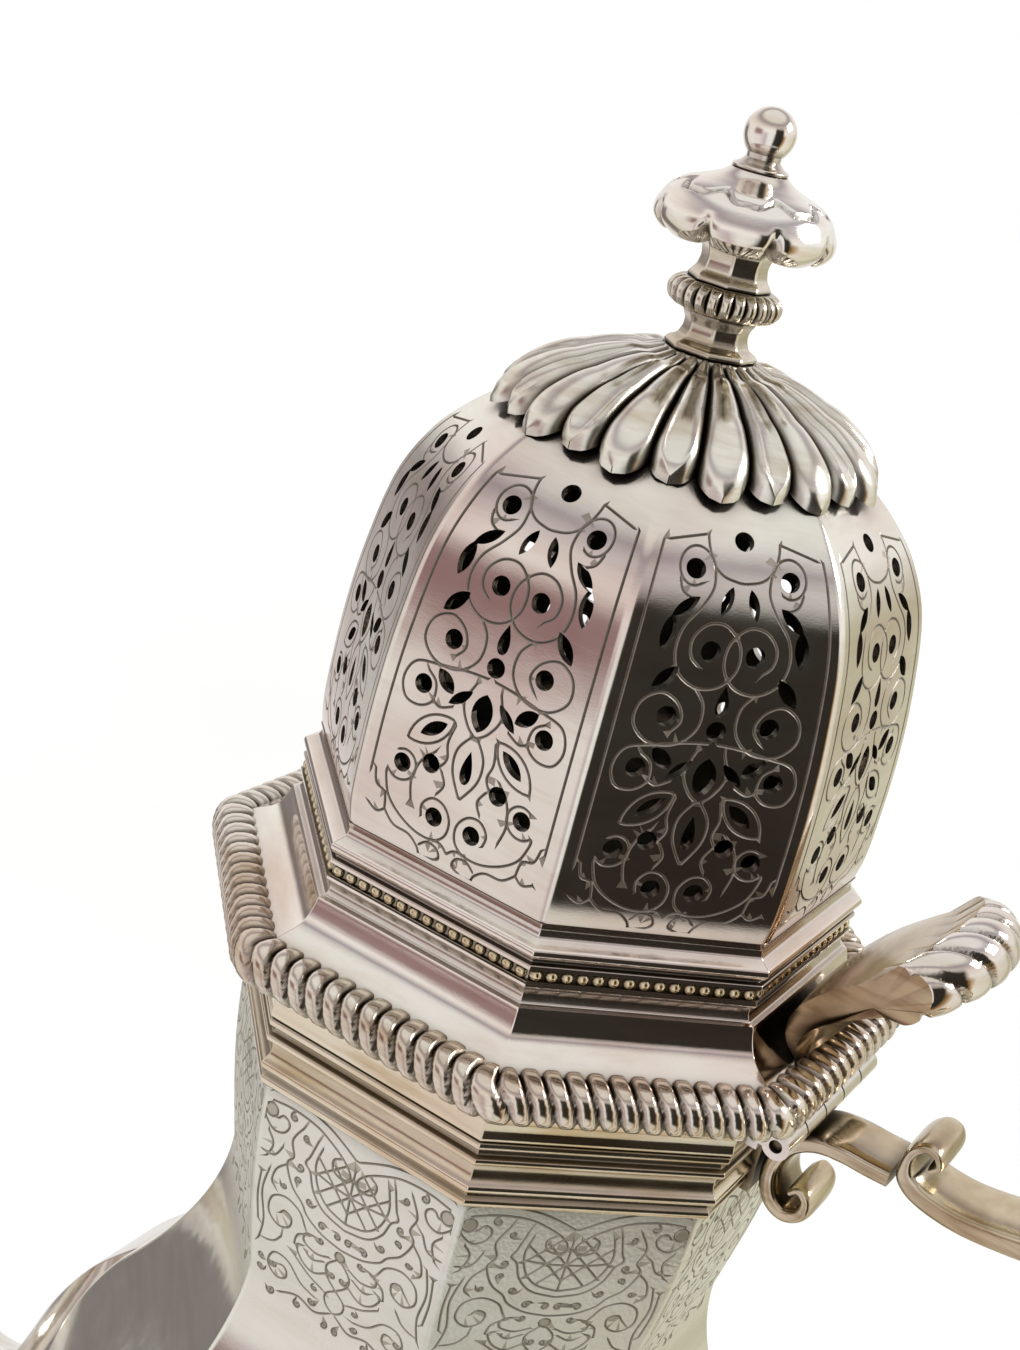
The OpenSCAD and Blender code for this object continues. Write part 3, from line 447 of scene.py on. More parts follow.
def worldNodes():
    # white to the camera; in the metal a pale room with a few dark openings
    world = bpy.data.worlds.new("room")
    scene.world = world
    world.use_nodes = True
    nt = world.node_tree
    nt.nodes.clear()
    out = nt.nodes.new("ShaderNodeOutputWorld")
    path = addNode(nt, "LightPath").outputs
    x, y, z = addNode(nt, "SeparateXYZ", {0: addNode(nt, "TexCoord").outputs["Generated"]}).outputs
    turn = mathNode(nt, "ADD", mathNode(nt, "DIVIDE", mathNode(nt, "ARCTAN2", y, x), 2 * pi), 0.5)
    height = mathNode(nt, "ADD", mathNode(nt, "MULTIPLY", z, 0.5), 0.5)
    ring = rampNode(nt, turn, room["ring"])
    sky = rampNode(nt, height, room["sky"])

    def mask(fac, a, b, c, d):
        return rampNode(nt, fac, [(a, (0, 0, 0)), (b, (1, 1, 1)), (c, (1, 1, 1)), (d, (0, 0, 0))])

    # the dark opening reaches higher than the rest and stops short of the ground
    opening = mask(turn, *room["opening"])
    ground = rampNode(nt, height, [(0.15, (1, 1, 1)), (0.20, (0, 0, 0))])
    ring = mixColor(nt, mathNode(nt, "MULTIPLY", opening, ground), ring, room["ground"])
    up = mixColor(nt, opening, rise(nt, height, 0.50, 0.60), rise(nt, height, 0.70, 0.80))
    plum = mathNode(nt, "MULTIPLY", mask(turn, *room["plumTurn"]), mask(height, *room["plumHeight"]))
    seen = mixColor(nt, mathNode(nt, "MULTIPLY", plum, room["plumShare"]),
                    mixColor(nt, up, ring, sky), room["plum"])
    glossy, fill, white = (addNode(nt, "Background", {0: c, 1: strength}).outputs[0]
                           for c, strength in ((seen, 1.0), ((1, 1, 1), room["fill"]), ((1, 1, 1), 1.0)))
    light = addNode(nt, "MixShader", {0: path["Is Glossy Ray"], 1: fill, 2: glossy}).outputs[0]
    light = addNode(nt, "MixShader", {0: path["Is Camera Ray"], 1: light, 2: white}).outputs[0]
    nt.links.new(light, out.inputs[0])


table = dict(size=3.0, nearSquared=0.12, farSquared=1.0, lift=0.41)


def floorPiece():
    mat, nt, bsdf, geo = newMaterial("floor")
    col = rampNode(nt, noiseNode(nt, geo, 6.0, 3.0), [(0.3, (0.80, 0.80, 0.79)), (0.7, (0.83, 0.83, 0.82))])
    feed(nt, col, bsdf.inputs["Base Color"])
    feed(nt, 0.8, bsdf.inputs["Roughness"])
    # white far from the lamps, and nothing added near the pot, where its shadow falls
    x, y, z = addNode(nt, "SeparateXYZ", {0: geo}).outputs
    away = mathNode(nt, "ADD", mathNode(nt, "MULTIPLY", x, x), mathNode(nt, "MULTIPLY", y, y))
    lift = rise(nt, away, table["nearSquared"], table["farSquared"], table["lift"])
    camera = addNode(nt, "LightPath").outputs["Is Camera Ray"]
    glow = addNode(nt, "Emission", {1: mathNode(nt, "MULTIPLY", camera, lift)}).outputs[0]
    both = addNode(nt, "AddShader", {0: bsdf.outputs[0], 1: glow}).outputs[0]
    nt.links.new(both, nt.nodes["Material Output"].inputs[0])
    me = bpy.data.meshes.new("floor")
    s = table["size"]
    me.from_pydata([(-s, -s, 0), (s, -s, 0), (s, s, 0), (-s, s, 0)], [], [(0, 1, 2, 3)])
    me.materials.append(mat)
    ob = bpy.data.objects.new("floor", me)
    scene.collection.objects.link(ob)
    ob.visible_glossy = False


aimCamera()
worldNodes()
floorPiece()
key = areaLight("keyLight", (-0.6, -0.7, 0.95), (0, 0, 0.17), (0.5, 0.5), 9)
areaLight("rimLight", (0.7, 0.5, 0.8), (0, 0, 0.2), (0.5, 0.3), 5)
key.visible_glossy = False
print("camera and light done")



# of the panels' triangles: spacing of points, room to holes and edges, share of the spacing at which two
# points are one, line widths kept free of the even grid, and the depth that counts as cut
weave = dict(step=0.3, gap=0.12, clear=0.05, merge=0.6, away=2.2, cutDepth=0.004, tiny=1e-6)


class Sheet:
    # one flat-sided panel: u across, t along its outline from the bottom

    def __init__(self, line, arris):
        # line is corner radius and height, evenly drawn
        self.line = [(r * flat, z) for r, z in line]
        self.arris = arris
        self.t = [0.0]
        for a, b in zip(self.line[:-1], self.line[1:]):
            self.t.append(self.t[-1] + hypot(b[0] - a[0], b[1] - a[1]))
        self.length = self.t[-1]

    def at(self, t):
        # flat radius and height at t, with the outward direction there
        i = min(max(bisect_right(self.t, t) - 1, 0), len(self.t) - 2)
        k = (t - self.t[i]) / (self.t[i + 1] - self.t[i])
        p, q = self.line[i], self.line[i + 1]
        d0, d1 = self.slope(i), self.slope(i + 1)
        d = (d0[0] + (d1[0] - d0[0]) * k, d0[1] + (d1[1] - d0[1]) * k)
        n = hypot(*d)
        return p[0] + (q[0] - p[0]) * k, p[1] + (q[1] - p[1]) * k, d[1] / n, -d[0] / n

    def within(self, t):
        return min(max(t, 0), self.length - weave["tiny"])

    def slope(self, i):
        a, b = self.line[max(i - 1, 0)], self.line[min(i + 1, len(self.line) - 1)]
        n = hypot(b[0] - a[0], b[1] - a[1])
        return (b[0] - a[0]) / n, (b[1] - a[1]) / n

    def tOf(self, z):
        for i in range(len(self.line) - 1):
            a, b = self.line[i][1], self.line[i + 1][1]
            if a <= z <= b:
                return self.t[i] + (self.t[i + 1] - self.t[i]) * (z - a) / (b - a)
        return self.length if z > self.line[-1][1] else 0.0

    def halfWidth(self, t):
        return max((self.at(t)[0] - self.arris) / flat * half, 0.05)


class Lines:
    # engraved lines with a quick way to ask how deep a point lies

    def __init__(self, paths, width, depth):
        self.width, self.depth = width, depth
        self.cells = {}
        self.points = []
        for p in paths:
            pts = resample(p, weave["step"])
            for a, b in zip(pts[:-1], pts[1:]):
                self.addSegment(a, b)
            self.points.append(pts)

    def addSegment(self, a, b):
        for x in range(int(min(a[0], b[0]) - 1), int(max(a[0], b[0]) + 1) + 1):
            for y in range(int(min(a[1], b[1]) - 1), int(max(a[1], b[1]) + 1) + 1):
                self.cells.setdefault((x, y), []).append((a, b))

    def distance(self, p):
        best = 9.0
        for a, b in self.cells.get((int(math.floor(p[0])), int(math.floor(p[1]))), ()):
            dx, dy = b[0] - a[0], b[1] - a[1]
            k = ((p[0] - a[0]) * dx + (p[1] - a[1]) * dy) / (dx * dx + dy * dy + 1e-12)
            k = min(max(k, 0), 1)
            best = min(best, hypot(p[0] - a[0] - k * dx, p[1] - a[1] - k * dy))
        return best

    def cut(self, p):
        return self.depth * max(0.0, 1 - self.distance(p) / self.width)


def mirrored(paths):
    return paths + [[(-x, y) for x, y in p] for p in paths]


def inside(p, loop):
    hit = False
    for a, b in zip(loop, loop[1:] + loop[:1]):
        if (a[1] > p[1]) != (b[1] > p[1]) and p[0] < (b[0] - a[0]) * (p[1] - a[1]) / (b[1] - a[1]) + a[0]:
            hit = not hit
    return hit


def triangulate(sheet, holes, lines, rows, across):
    # points and triangles of one panel in its own flat coordinates
    pts, cells = [], {}
    gap, clear = weave["gap"], weave["clear"]

    def add(p, gap=gap):
        key = (int(p[0] / gap), int(p[1] / gap))
        for i in (-1, 0, 1):
            for j in (-1, 0, 1):
                for q in cells.get((key[0] + i, key[1] + j), ()):
                    if hypot(pts[q][0] - p[0], pts[q][1] - p[1]) < gap * weave["merge"]:
                        return q
        pts.append(p)
        cells.setdefault(key, []).append(len(pts) - 1)
        return len(pts) - 1

    left, right = [], []
    for t in rows:
        w = sheet.halfWidth(t)
        left.append(add((-w, t), 0.001))
        right.append(add((w, t), 0.001))
    edges = list(zip(left[:-1], left[1:])) + list(zip(right[:-1], right[1:]))
    for h in holes:
        ids = list(range(len(pts), len(pts) + len(h)))
        pts += h
        edges += list(zip(ids, ids[1:] + ids[:1]))
    cells.clear()
    for i, p in enumerate(pts):
        cells.setdefault((int(p[0] / gap), int(p[1] / gap)), []).append(i)
    boxes = [(min(p[0] for p in h), max(p[0] for p in h), min(p[1] for p in h), max(p[1] for p in h), h)
             for h in holes]

    def free(p):
        for x0, x1, y0, y1, h in boxes:
            if x0 - clear < p[0] < x1 + clear and y0 - clear < p[1] < y1 + clear and inside(p, h):
                return False
        return 0 < p[1] < sheet.length and abs(p[0]) < sheet.halfWidth(p[1]) - clear

    for path in lines.points:
        for a, b in zip(path[:-1], path[1:]):
            d = hypot(b[0] - a[0], b[1] - a[1]) or 1
            nx, ny = -(b[1] - a[1]) / d * lines.width, (b[0] - a[0]) / d * lines.width
            for p in (a, (a[0] + nx, a[1] + ny), (a[0] - nx, a[1] - ny)):
                if free(p):
                    add(p)
    for i, t in enumerate(rows):
        w = sheet.halfWidth(t)
        n = max(int(w * 2 / across), 1)
        for j in range(1, n):
            p = (-w + 2 * w * (j + 0.5 * (i % 2) - 0.25) / n, t)
            if free(p) and lines.distance(p) > lines.width * weave["away"]:
                add(p)
    made = geometry.delaunay_2d_cdt([Vector(p) for p in pts], edges, [], 0, weave["tiny"], True)
    v, tris = made[0], []
    for tri in made[2]:
        c = (sum(v[i][0] for i in tri) / 3, sum(v[i][1] for i in tri) / 3)
        if abs(c[0]) > sheet.halfWidth(sheet.within(c[1])) + 0.002:
            continue
        if any(x0 < c[0] < x1 and y0 < c[1] < y1 and inside(c, h) for x0, x1, y0, y1, h in boxes):
            continue
        tris.append(tuple(tri))
    return [(p[0], p[1]) for p in v], tris


def panelShell(name, sheet, panels, mats, body, replaces, wall, rows, across, steps=6):
    # eight panels with their rounded arrises; panels gives holes and lines for each side, and which
    # sides are alike
    b = Builder()
    done = {}
    for k in range(8):
        holes, lines, key = panels(k)
        if key not in done:
            pts, tris = triangulate(sheet, holes, lines, rows, across)
            done[key] = (pts, tris, [lines.cut(p) for p in pts])
        pts, tris, depth = done[key]
        a = radians(45 * k)
        ca, sa = cos(a), sin(a)
        base = len(b.verts)
        where = [sheet.at(sheet.within(p[1])) for p in pts]
        ns = [(nf * ca, nf * sa, nz) for f, z, nf, nz in where]
        for layer in (0, 1):
            for p, (f, z, nf, nz), d in zip(pts, where, depth):
                off = d if layer == 0 else wall
                f2, z2 = f - nf * off, z - nz * off
                b.vert((f2 * ca - p[0] * sa, f2 * sa + p[0] * ca, z2))
        n = len(pts)
        edgeUse = {}
        for i, j, m in tris:
            (xi, yi), (xj, yj), (xm, ym) = pts[i], pts[j], pts[m]
            if (xj - xi) * (ym - yi) - (yj - yi) * (xm - xi) < 0:
                j, m = m, j
            cut = max(depth[i], depth[j], depth[m]) > weave["cutDepth"]
            b.face((base + i, base + j, base + m), None if cut else [ns[i], ns[j], ns[m]], 1 if cut else 0)
            b.face((base + n + m, base + n + j, base + n + i),
                   [tuple(-c for c in ns[q]) for q in (m, j, i)])
            for p, q in ((i, j), (j, m), (m, i)):
                edgeUse[(p, q)] = 1
        for (p, q) in edgeUse:
            onSide = all(abs(abs(pts[x][0]) - sheet.halfWidth(sheet.within(pts[x][1]))) < 0.01
                         for x in (p, q))
            if (q, p) not in edgeUse and not onSide:
                b.face((base + q, base + p, base + n + p, base + n + q))
    # arrises
    c = sheet.arris
    for k in range(8):
        a = radians(45 * k + 22.5)
        grid = []
        for layer in (0, 1):
            for t in rows:
                f, z, nf, nz = sheet.at(sheet.within(t))
                r = max(f - c, 0.02) / flat
                off = 0 if layer == 0 else wall
                for j in range(steps + 1):
                    q = a + radians(-22.5 + 45 * j / steps)
                    x = r * cos(a) + (c - off * nf) * cos(q)
                    y = r * sin(a) + (c - off * nf) * sin(q)
                    grid.append((b.vert((x, y, z - nz * off)), (cos(q) * nf, sin(q) * nf, nz)))
        w = steps + 1
        m = len(rows)
        for layer in (0, 1):
            for i in range(m - 1):
                for j in range(steps):
                    ids = [layer * m * w + i * w + j, layer * m * w + i * w + j + 1,
                           layer * m * w + (i + 1) * w + j + 1, layer * m * w + (i + 1) * w + j]
                    if layer:
                        ids.reverse()
                    sign = -1 if layer else 1
                    b.face([grid[x][0] for x in ids], [tuple(sign * v for v in grid[x][1]) for x in ids])
    return b.make(name, mats, body, replaces, "silver")


def leaned(pts, cx, cy, lean):
    c, s = cos(radians(lean)), sin(radians(lean))
    return [(cx + x * c - y * s, cy + x * s + y * c) for x, y in pts]


def leafLoop(cx, cy, halfLen, halfW, lean, n=9):
    r = (halfLen ** 2 + halfW ** 2) / (2 * halfW)
    a0 = degrees(math.asin(halfLen / r))
    right = [(r * cos(radians(a)) - (r - halfW), r * sin(radians(a)))
             for a in [-a0 + 2 * a0 * i / n for i in range(n)]]
    return leaned(right + [(-x, -y) for x, y in right], cx, cy, lean)


def dropLoop(cx, cy, halfLen, halfW, n=22):
    # teardrop with its point up
    turns = [2 * pi * i / n for i in range(n)]
    return leaned([(halfW * sin(a) * sin(a / 2) ** 1.1, halfLen * cos(a)) for a in turns], cx, cy, 0)


def circleLoop(cx, cy, r, n=26):
    return [polar(r, 2 * pi * i / n, cx, cy) for i in range(n)]


domeLine = [(dome["r"] + x, dome["z"] + dome["h"] * y) for x, y in catmull(
    [(-0.6, 0), (-0.1, 0.06), (0, 0.16), (-0.2, 0.31), (-1, 0.47), (-2.8, 0.65), (-5.8, 0.77),
     (-9.4, 0.85), (-13, 0.905), (-17.4, 0.95), (-21.6, 0.98), (-25.6, 1)], 8)]
# places on one side, across and up from the dome's foot; leaves and drops with half length and half
# width, leaves with their lean
piercing = dict(
    hole=1.1, sketchUp=13.8, borderLow=21.5, borderHigh=56.3, width=0.17, depth=0.13, rows=90,
    across=1.3,
    middle=[(0, 43.2), (0, 24.5)],
    paired=[(5.3, 40.3), (2.5, 32.7), (5.8, 25.5), (7.8, 19.6), (7.9, 10.1), (4.4, 11.5), (2.5, 5.8)],
    leaves=[(1.5, 37.7, 1.7, 0.6, 17), (6, 36.7, 1.9, 0.65, 50), (7.5, 34, 2.1, 0.8, 10),
            (6.9, 29.4, 1.9, 0.8, 42), (5.2, 20.9, 1.6, 0.85, -50), (3, 19.9, 1.7, 0.6, 48),
            (5.1, 15.4, 1.9, 0.75, 52)],
    drops=[(0, 27.7, 1.7, 0.95), (0, 12.9, 2, 0.95)],
    bud=(0, 19.3, 2.2, 1.3))


def pierceDome():
    sheet = Sheet(domeLine, dome["arris"])

    def tz(p):
        return p[0], sheet.tOf(dome["z"] + p[1])

    holes = [circleLoop(*tz(p), piercing["hole"]) for p in piercing["middle"]]
    for hand in (1, -1):
        for x, y in piercing["paired"]:
            holes.append(circleLoop(*tz((hand * x, y)), piercing["hole"]))
        for x, y, l, w, lean in piercing["leaves"]:
            holes.append(leafLoop(*tz((hand * x, y)), l, w, hand * lean))
    for x, y, l, w in piercing["drops"]:
        holes.append(dropLoop(*tz((x, y)), l, w))
    x, y, l, w = piercing["bud"]
    holes.append(leafLoop(*tz((x, y)), l, w, 0))

    def straight(*pts):
        # heights here start at the bead row, below the dome's foot
        return [tz((x, y - piercing["sketchUp"])) for x, y in pts]

    def s(*pts):
        return straight(*catmull(list(pts), 6))

    side = []
    low, high = piercing["borderLow"], piercing["borderHigh"]
    for i in range(30):
        t = sheet.tOf(dome["z"] + (low + (high - low) * i / 29) - piercing["sketchUp"])
        side.append((sheet.halfWidth(t) * 0.9 + 0.2, t))
    outline = [tz(p) for p in leafLoop(5.4, 15.2, 3.3, 1.5, 52)]
    lines = [
        side,
        straight((8.3, 56.3), (4.0, 57.2)),
        s((4.0, 57.2), (3.9, 56.2), (3.3, 54.7), (2, 53.7), (0, 53.3)),
        # top scroll, its stem and the ring round the middle eye
        s(*spiral(5.3, 54.1, 1.5, 2.2, -120, 185, 10), (3.2, 52.4), (4.3, 50.6), (5.9, 48.6), (6.4, 46.2),
          (5.6, 43.9), (3.4, 42.6), (0.9, 43), (-0.7, 44.9), (-0.6, 47.4), (1.2, 49.2), (3.3, 49.1),
          (4.7, 47.6), (4.6, 45.8), (3.4, 44.7)),
        s((6.9, 53.0), (6.5, 51.9), (5.3, 51.3)),
        # big scroll below
        s((3.4, 42.6), (2.1, 40.9), (2.2, 38.3), (4.2, 36.4), (7.2, 36.3), (9.2, 38.1), (8.9, 40.5),
          (6.9, 41.7), (4.9, 40.8), (4.1, 39), (5.2, 37.5)),
        # arm over the side eye
        s((0.5, 36.9), (3, 36.7), (6.4, 36.1), (9.4, 35.4), (10.4, 33.2), (9.6, 31.2), (7.7, 30.9),
          (6.2, 32), (6.3, 34), (7.5, 35)),
        s((1.6, 35.9), (2.4, 33.4), (1.3, 31.2), (0, 30.2)),
        s((3.6, 32.4), (5.2, 31.7), (6.3, 32.3)),
        # leaf outlines
        outline + outline[:1],
        s((0.4, 30.2), (1.7, 28.2), (1.6, 25.6), (0, 22.8)),
        s((2.6, 30.6), (3.0, 28.4), (2.6, 26.6), (3.4, 25.2)),
        # lower scrolls
        s(*spiral(7.9, 23.9, 1.5, 2.2, 60, 320, 9), (9.4, 21.2), (8.6, 19.4), (6.8, 17.9), (4.4, 16.9),
          (2.1, 16.9), (0.7, 18), (0.5, 19.9), (1.6, 21.4), (3.2, 21.6), (4.3, 20.4), (4.1, 19)),
        s((4.2, 26.8), (5.6, 25.2), (6.3, 22.6), (5.8, 20.2)),
        s((2.9, 25.0), (2.2, 23.6), (2.9, 22.2)),
        # foot border
        s((11.0, 21.9), (10.5, 20.2), (9.2, 19.6), (8.8, 17.7)),
        s((8.8, 17.7), (7.3, 16.4), (5.2, 16.2), (3.9, 15.2), (3.5, 14.2)),
        s((3.6, 15.6), (2.6, 16.4), (1.3, 16.1), (0.9, 15), (1.8, 14.5)),
        s((0, 16.1), (0.9, 16.9), (2.2, 16.9)),
        s((11.0, 17.6), (9.8, 17.0), (8.8, 17.7)),
    ]
    engraved = Lines(mirrored(lines), piercing["width"], piercing["depth"])
    rows = [sheet.length * i / piercing["rows"] for i in range(piercing["rows"] + 1)]
    panelShell("domePierced", sheet, lambda k: (holes, engraved, 0), [domeSilver, cutSilver], "cover",
               ("dome",), dome["wall"], rows, piercing["across"])


pierceDome()
print("dome pierced")


def bodyR(z):
    # corner radius of the body at a height
    p = pot
    if z <= p["bellyZ"]:
        share = sin(pi / 2 * (z - p["footH"]) / (p["bellyZ"] - p["footH"]))
        return p["stemR"] + (p["bellyR"] - p["stemR"]) * share
    if z <= p["shoulderZ"]:
        share = ((z - p["bellyZ"]) / (p["shoulderZ"] - p["bellyZ"])) ** 3.5
        return p["bellyR"] - (p["bellyR"] - p["shoulderR"]) * share
    if z <= p["waistZ"]:
        share = ((p["waistZ"] - z) / (p["waistZ"] - p["shoulderZ"])) ** 1.9
        return p["waistR"] + (p["shoulderR"] - p["waistR"]) * share
    if z <= p["neckZ"]:
        share = sin(pi / 2 * (z - p["waistZ"]) / (p["neckZ"] - p["waistZ"]))
        return p["waistR"] + (p["mouthR"] - p["waistR"]) * share
    return p["mouthR"]


neckWork = dict(curl=1.05, drift=0.25, low=139.5, high=168.5, side=14, clear=0.85, edge=0.9,
                width=0.17, depth=0.13, arris=1.3, rows=130, across=2.6)
# holes behind the spout that hold the leaves back
strainWork = dict(z=66, pitch=4.8, rowShare=0.87, hole=1.6, rows=3, most=4)


def engraveBody():
    w = neckWork
    line = [(bodyR(15 + 168 * i / 240), 15 + 168 * i / 240) for i in range(241)]
    sheet = Sheet(line, w["arris"])

    def s(*pts):
        return [(x, sheet.tOf(z)) for x, z in catmull(list(pts), 6)]

    def ring(x, z, r):
        return s(*[polar(r, 2 * pi * i / 10, x, z) for i in range(11)])

    lines = [
        # scrolls under the moulding
        s((13.2, 168.6), (9, 168.9), (5, 168.2), (2.5, 167.2), (0, 165.9)),
        s((13.0, 167.2), (10, 167.6), (6.5, 167.3), (3.9, 166.3), (1.6, 164.9), (0.5, 163.4), (1.4, 162.4),
          (2.9, 162.9), (3.2, 164.3), (2.2, 165)),
        ring(12.9, 165.9, 0.9),
        # shield with its strap
        s((4.9, 164.8), (5.4, 162.6), (5.1, 160.6), (4.2, 158.7), (2.6, 157.3), (0, 156.6)),
        s((5.7, 165.4), (6.4, 162.8), (6.9, 161.6), (6.0, 160.7), (5.1, 158.3), (3.2, 156.4), (0, 155.6)),
        s((8.0, 166), (9.2, 163.6), (8.6, 161.4), (9.4, 160), (8.2, 157.2), (6.4, 155.6), (5.4, 154.2),
          (3.0, 152.9), (0, 152.4)),
        s((0, 164.4), (0, 160), (0, 156.8)),
        s((0, 160.7), (2.6, 160.8), (5.2, 161.2)),
        s((0, 163.3), (2.4, 160.8), (4.4, 158.7)), s((2.6, 163.6), (0, 160.7)),
        s((5.1, 163.4), (2.4, 160.8), (0, 158.2)),
        s((1.2, 164.6), (3.9, 162.1), (5.3, 160.9)), s((0, 160.7), (2.9, 157.6)),
        # side scrolls
        s((13.6, 164.6), (12.2, 163.4), (10.6, 163.8), (10.0, 165.2), (11, 166), (11.8, 165.2)),
        s((10.4, 161.8), (11.4, 160.0), (13.2, 159.8)),
        s((12.8, 163), (11.8, 161.4), (12.6, 159)),
        s((9.6, 159.6), (10.8, 158.2), (11.2, 156.2), (10.4, 155.4)),
        s((11.8, 157.6), (12.4, 154), (11.7, 149.6), (12.2, 146)),
        s((12.9, 156.6), (13.0, 153), (12.5, 149)),
        # curls beside the strap
        s((5.6, 152.6), (6.6, 154.2), (8.8, 155.0), (10.8, 153.9), (11.1, 151.5), (9.6, 150.1),
          (7.9, 150.7), (7.6, 152.3), (8.7, 152.9), (9.3, 152.2)),
        s((4.6, 151.6), (6.4, 150.6), (6.8, 148.6)),
        # leaves and lower scrolls
        ring(0, 151.2, 0.7),
        s((0.5, 150.4), (1.7, 148.9), (1.5, 147.2), (0, 145.6)),
        s((1.5, 150.2), (3.4, 149.5), (5.4, 150.2), (5.2, 151.6), (4.0, 151.9)),
        s((1.7, 147.4), (3.6, 146.2), (5.4, 147.0), (6.4, 148.9), (5.4, 149.4)),
        s((2.2, 149.0), (3.8, 148.2), (4.8, 148.6)),
        s((0, 145.6), (1.4, 144.2), (1.2, 142.6), (0, 141.6)),
        s((3, 142.4), (5.2, 143.2), (7.4, 145.4), (9.6, 145.4), (10.4, 143.2), (9, 141.7), (7.5, 142.4),
          (7.6, 143.9), (8.6, 144.1)),
        s((2.2, 144.6), (4.2, 145.4), (6.4, 147)),
        s((8.8, 148.6), (9.8, 147.2), (11.2, 146.6)),
        s((0.4, 141.4), (2.6, 140.2), (5.4, 140.8), (8.0, 139.8)),
    ]
    engraved = Lines(mirrored(lines), w["width"], w["depth"])
    # small curls fill the ground between the larger scrolls
    curls = random.Random(4)
    x, z = w["curl"], w["low"]
    while z < w["high"]:
        dx, dz = (curls.uniform(-w["drift"], w["drift"]) for i in range(2))
        p = (x + dx, sheet.tOf(z + dz))
        if p[0] < sheet.halfWidth(p[1]) - w["edge"] and engraved.distance(p) > w["clear"]:
            turn = curls.uniform(0, 360)
            size = w["curl"] * curls.uniform(0.55, 0.75)
            lines.append(spiral(p[0], p[1], 0.12, size, turn, turn + curls.choice((-400, 400)), 12))
        x += 2 * w["curl"]
        if x > w["side"]:
            x = w["curl"]
            z += 2 * w["curl"]
    engraved = Lines(mirrored(lines), w["width"], w["depth"])
    strainer, h = [], strainWork
    for row in range(-h["rows"], h["rows"] + 1):
        odd = abs(row) % 2
        y = sheet.tOf(h["z"] + row * h["pitch"] * h["rowShare"])
        for i in range(h["most"] - odd):
            strainer.append(circleLoop((i - (h["most"] - 1 - odd) / 2) * h["pitch"], y, h["hole"], 18))
    rows = [sheet.length * i / w["rows"] for i in range(w["rows"] + 1)]
    panelShell("bodyEngraved", sheet, lambda k: (strainer, engraved, 1) if k == 4 else ([], engraved, 0),
               [neckSilver, neckCut], "pot", ("body_shell",), pot["wall"], rows, w["across"])


engraveBody()
print("body engraved")


handle = dict(top=180.5, plateX=36.2, bandW=4.4, bandT=1.6, gripX=94.0, disc=3.0, fit=0.05,
              upperDisc=(71.5, 180.7), upperDir=(0.96911, 0.24668), lowerDisc=(64.0, 81.0),
              lowerDir=(-0.81373, -0.58124), bracketZ=70, power=(0.5, 0.6), around=28)


def bandPiece(name, stations, steps, replaces, first=None, last=None):
    # strap of x, z, half thickness and half width swept along its stations
    path = catmull(stations, steps)
    n, power = handle["around"], handle["power"]
    verts = []
    for i, (x, z, a, b) in enumerate(path):
        p, q = path[max(i - 1, 0)], path[min(i + 1, len(path) - 1)]
        if i == 0 and first:
            p, q = (0, 0), first
        if i == len(path) - 1 and last:
            p, q = (0, 0), last
        d = hypot(q[0] - p[0], q[1] - p[1])
        tx, tz = (q[0] - p[0]) / d, (q[1] - p[1]) / d
        for j in range(n):
            w = 2 * pi * j / n + pi / n
            u = a * math.copysign(abs(cos(w)) ** power[0], cos(w))
            v = b * math.copysign(abs(sin(w)) ** power[1], sin(w))
            verts.append((x - tz * u, v, z + tx * u))
    plainMesh(name, verts, cappedTube(len(path), n), [gilt], "pot", (replaces,), sharp=48)


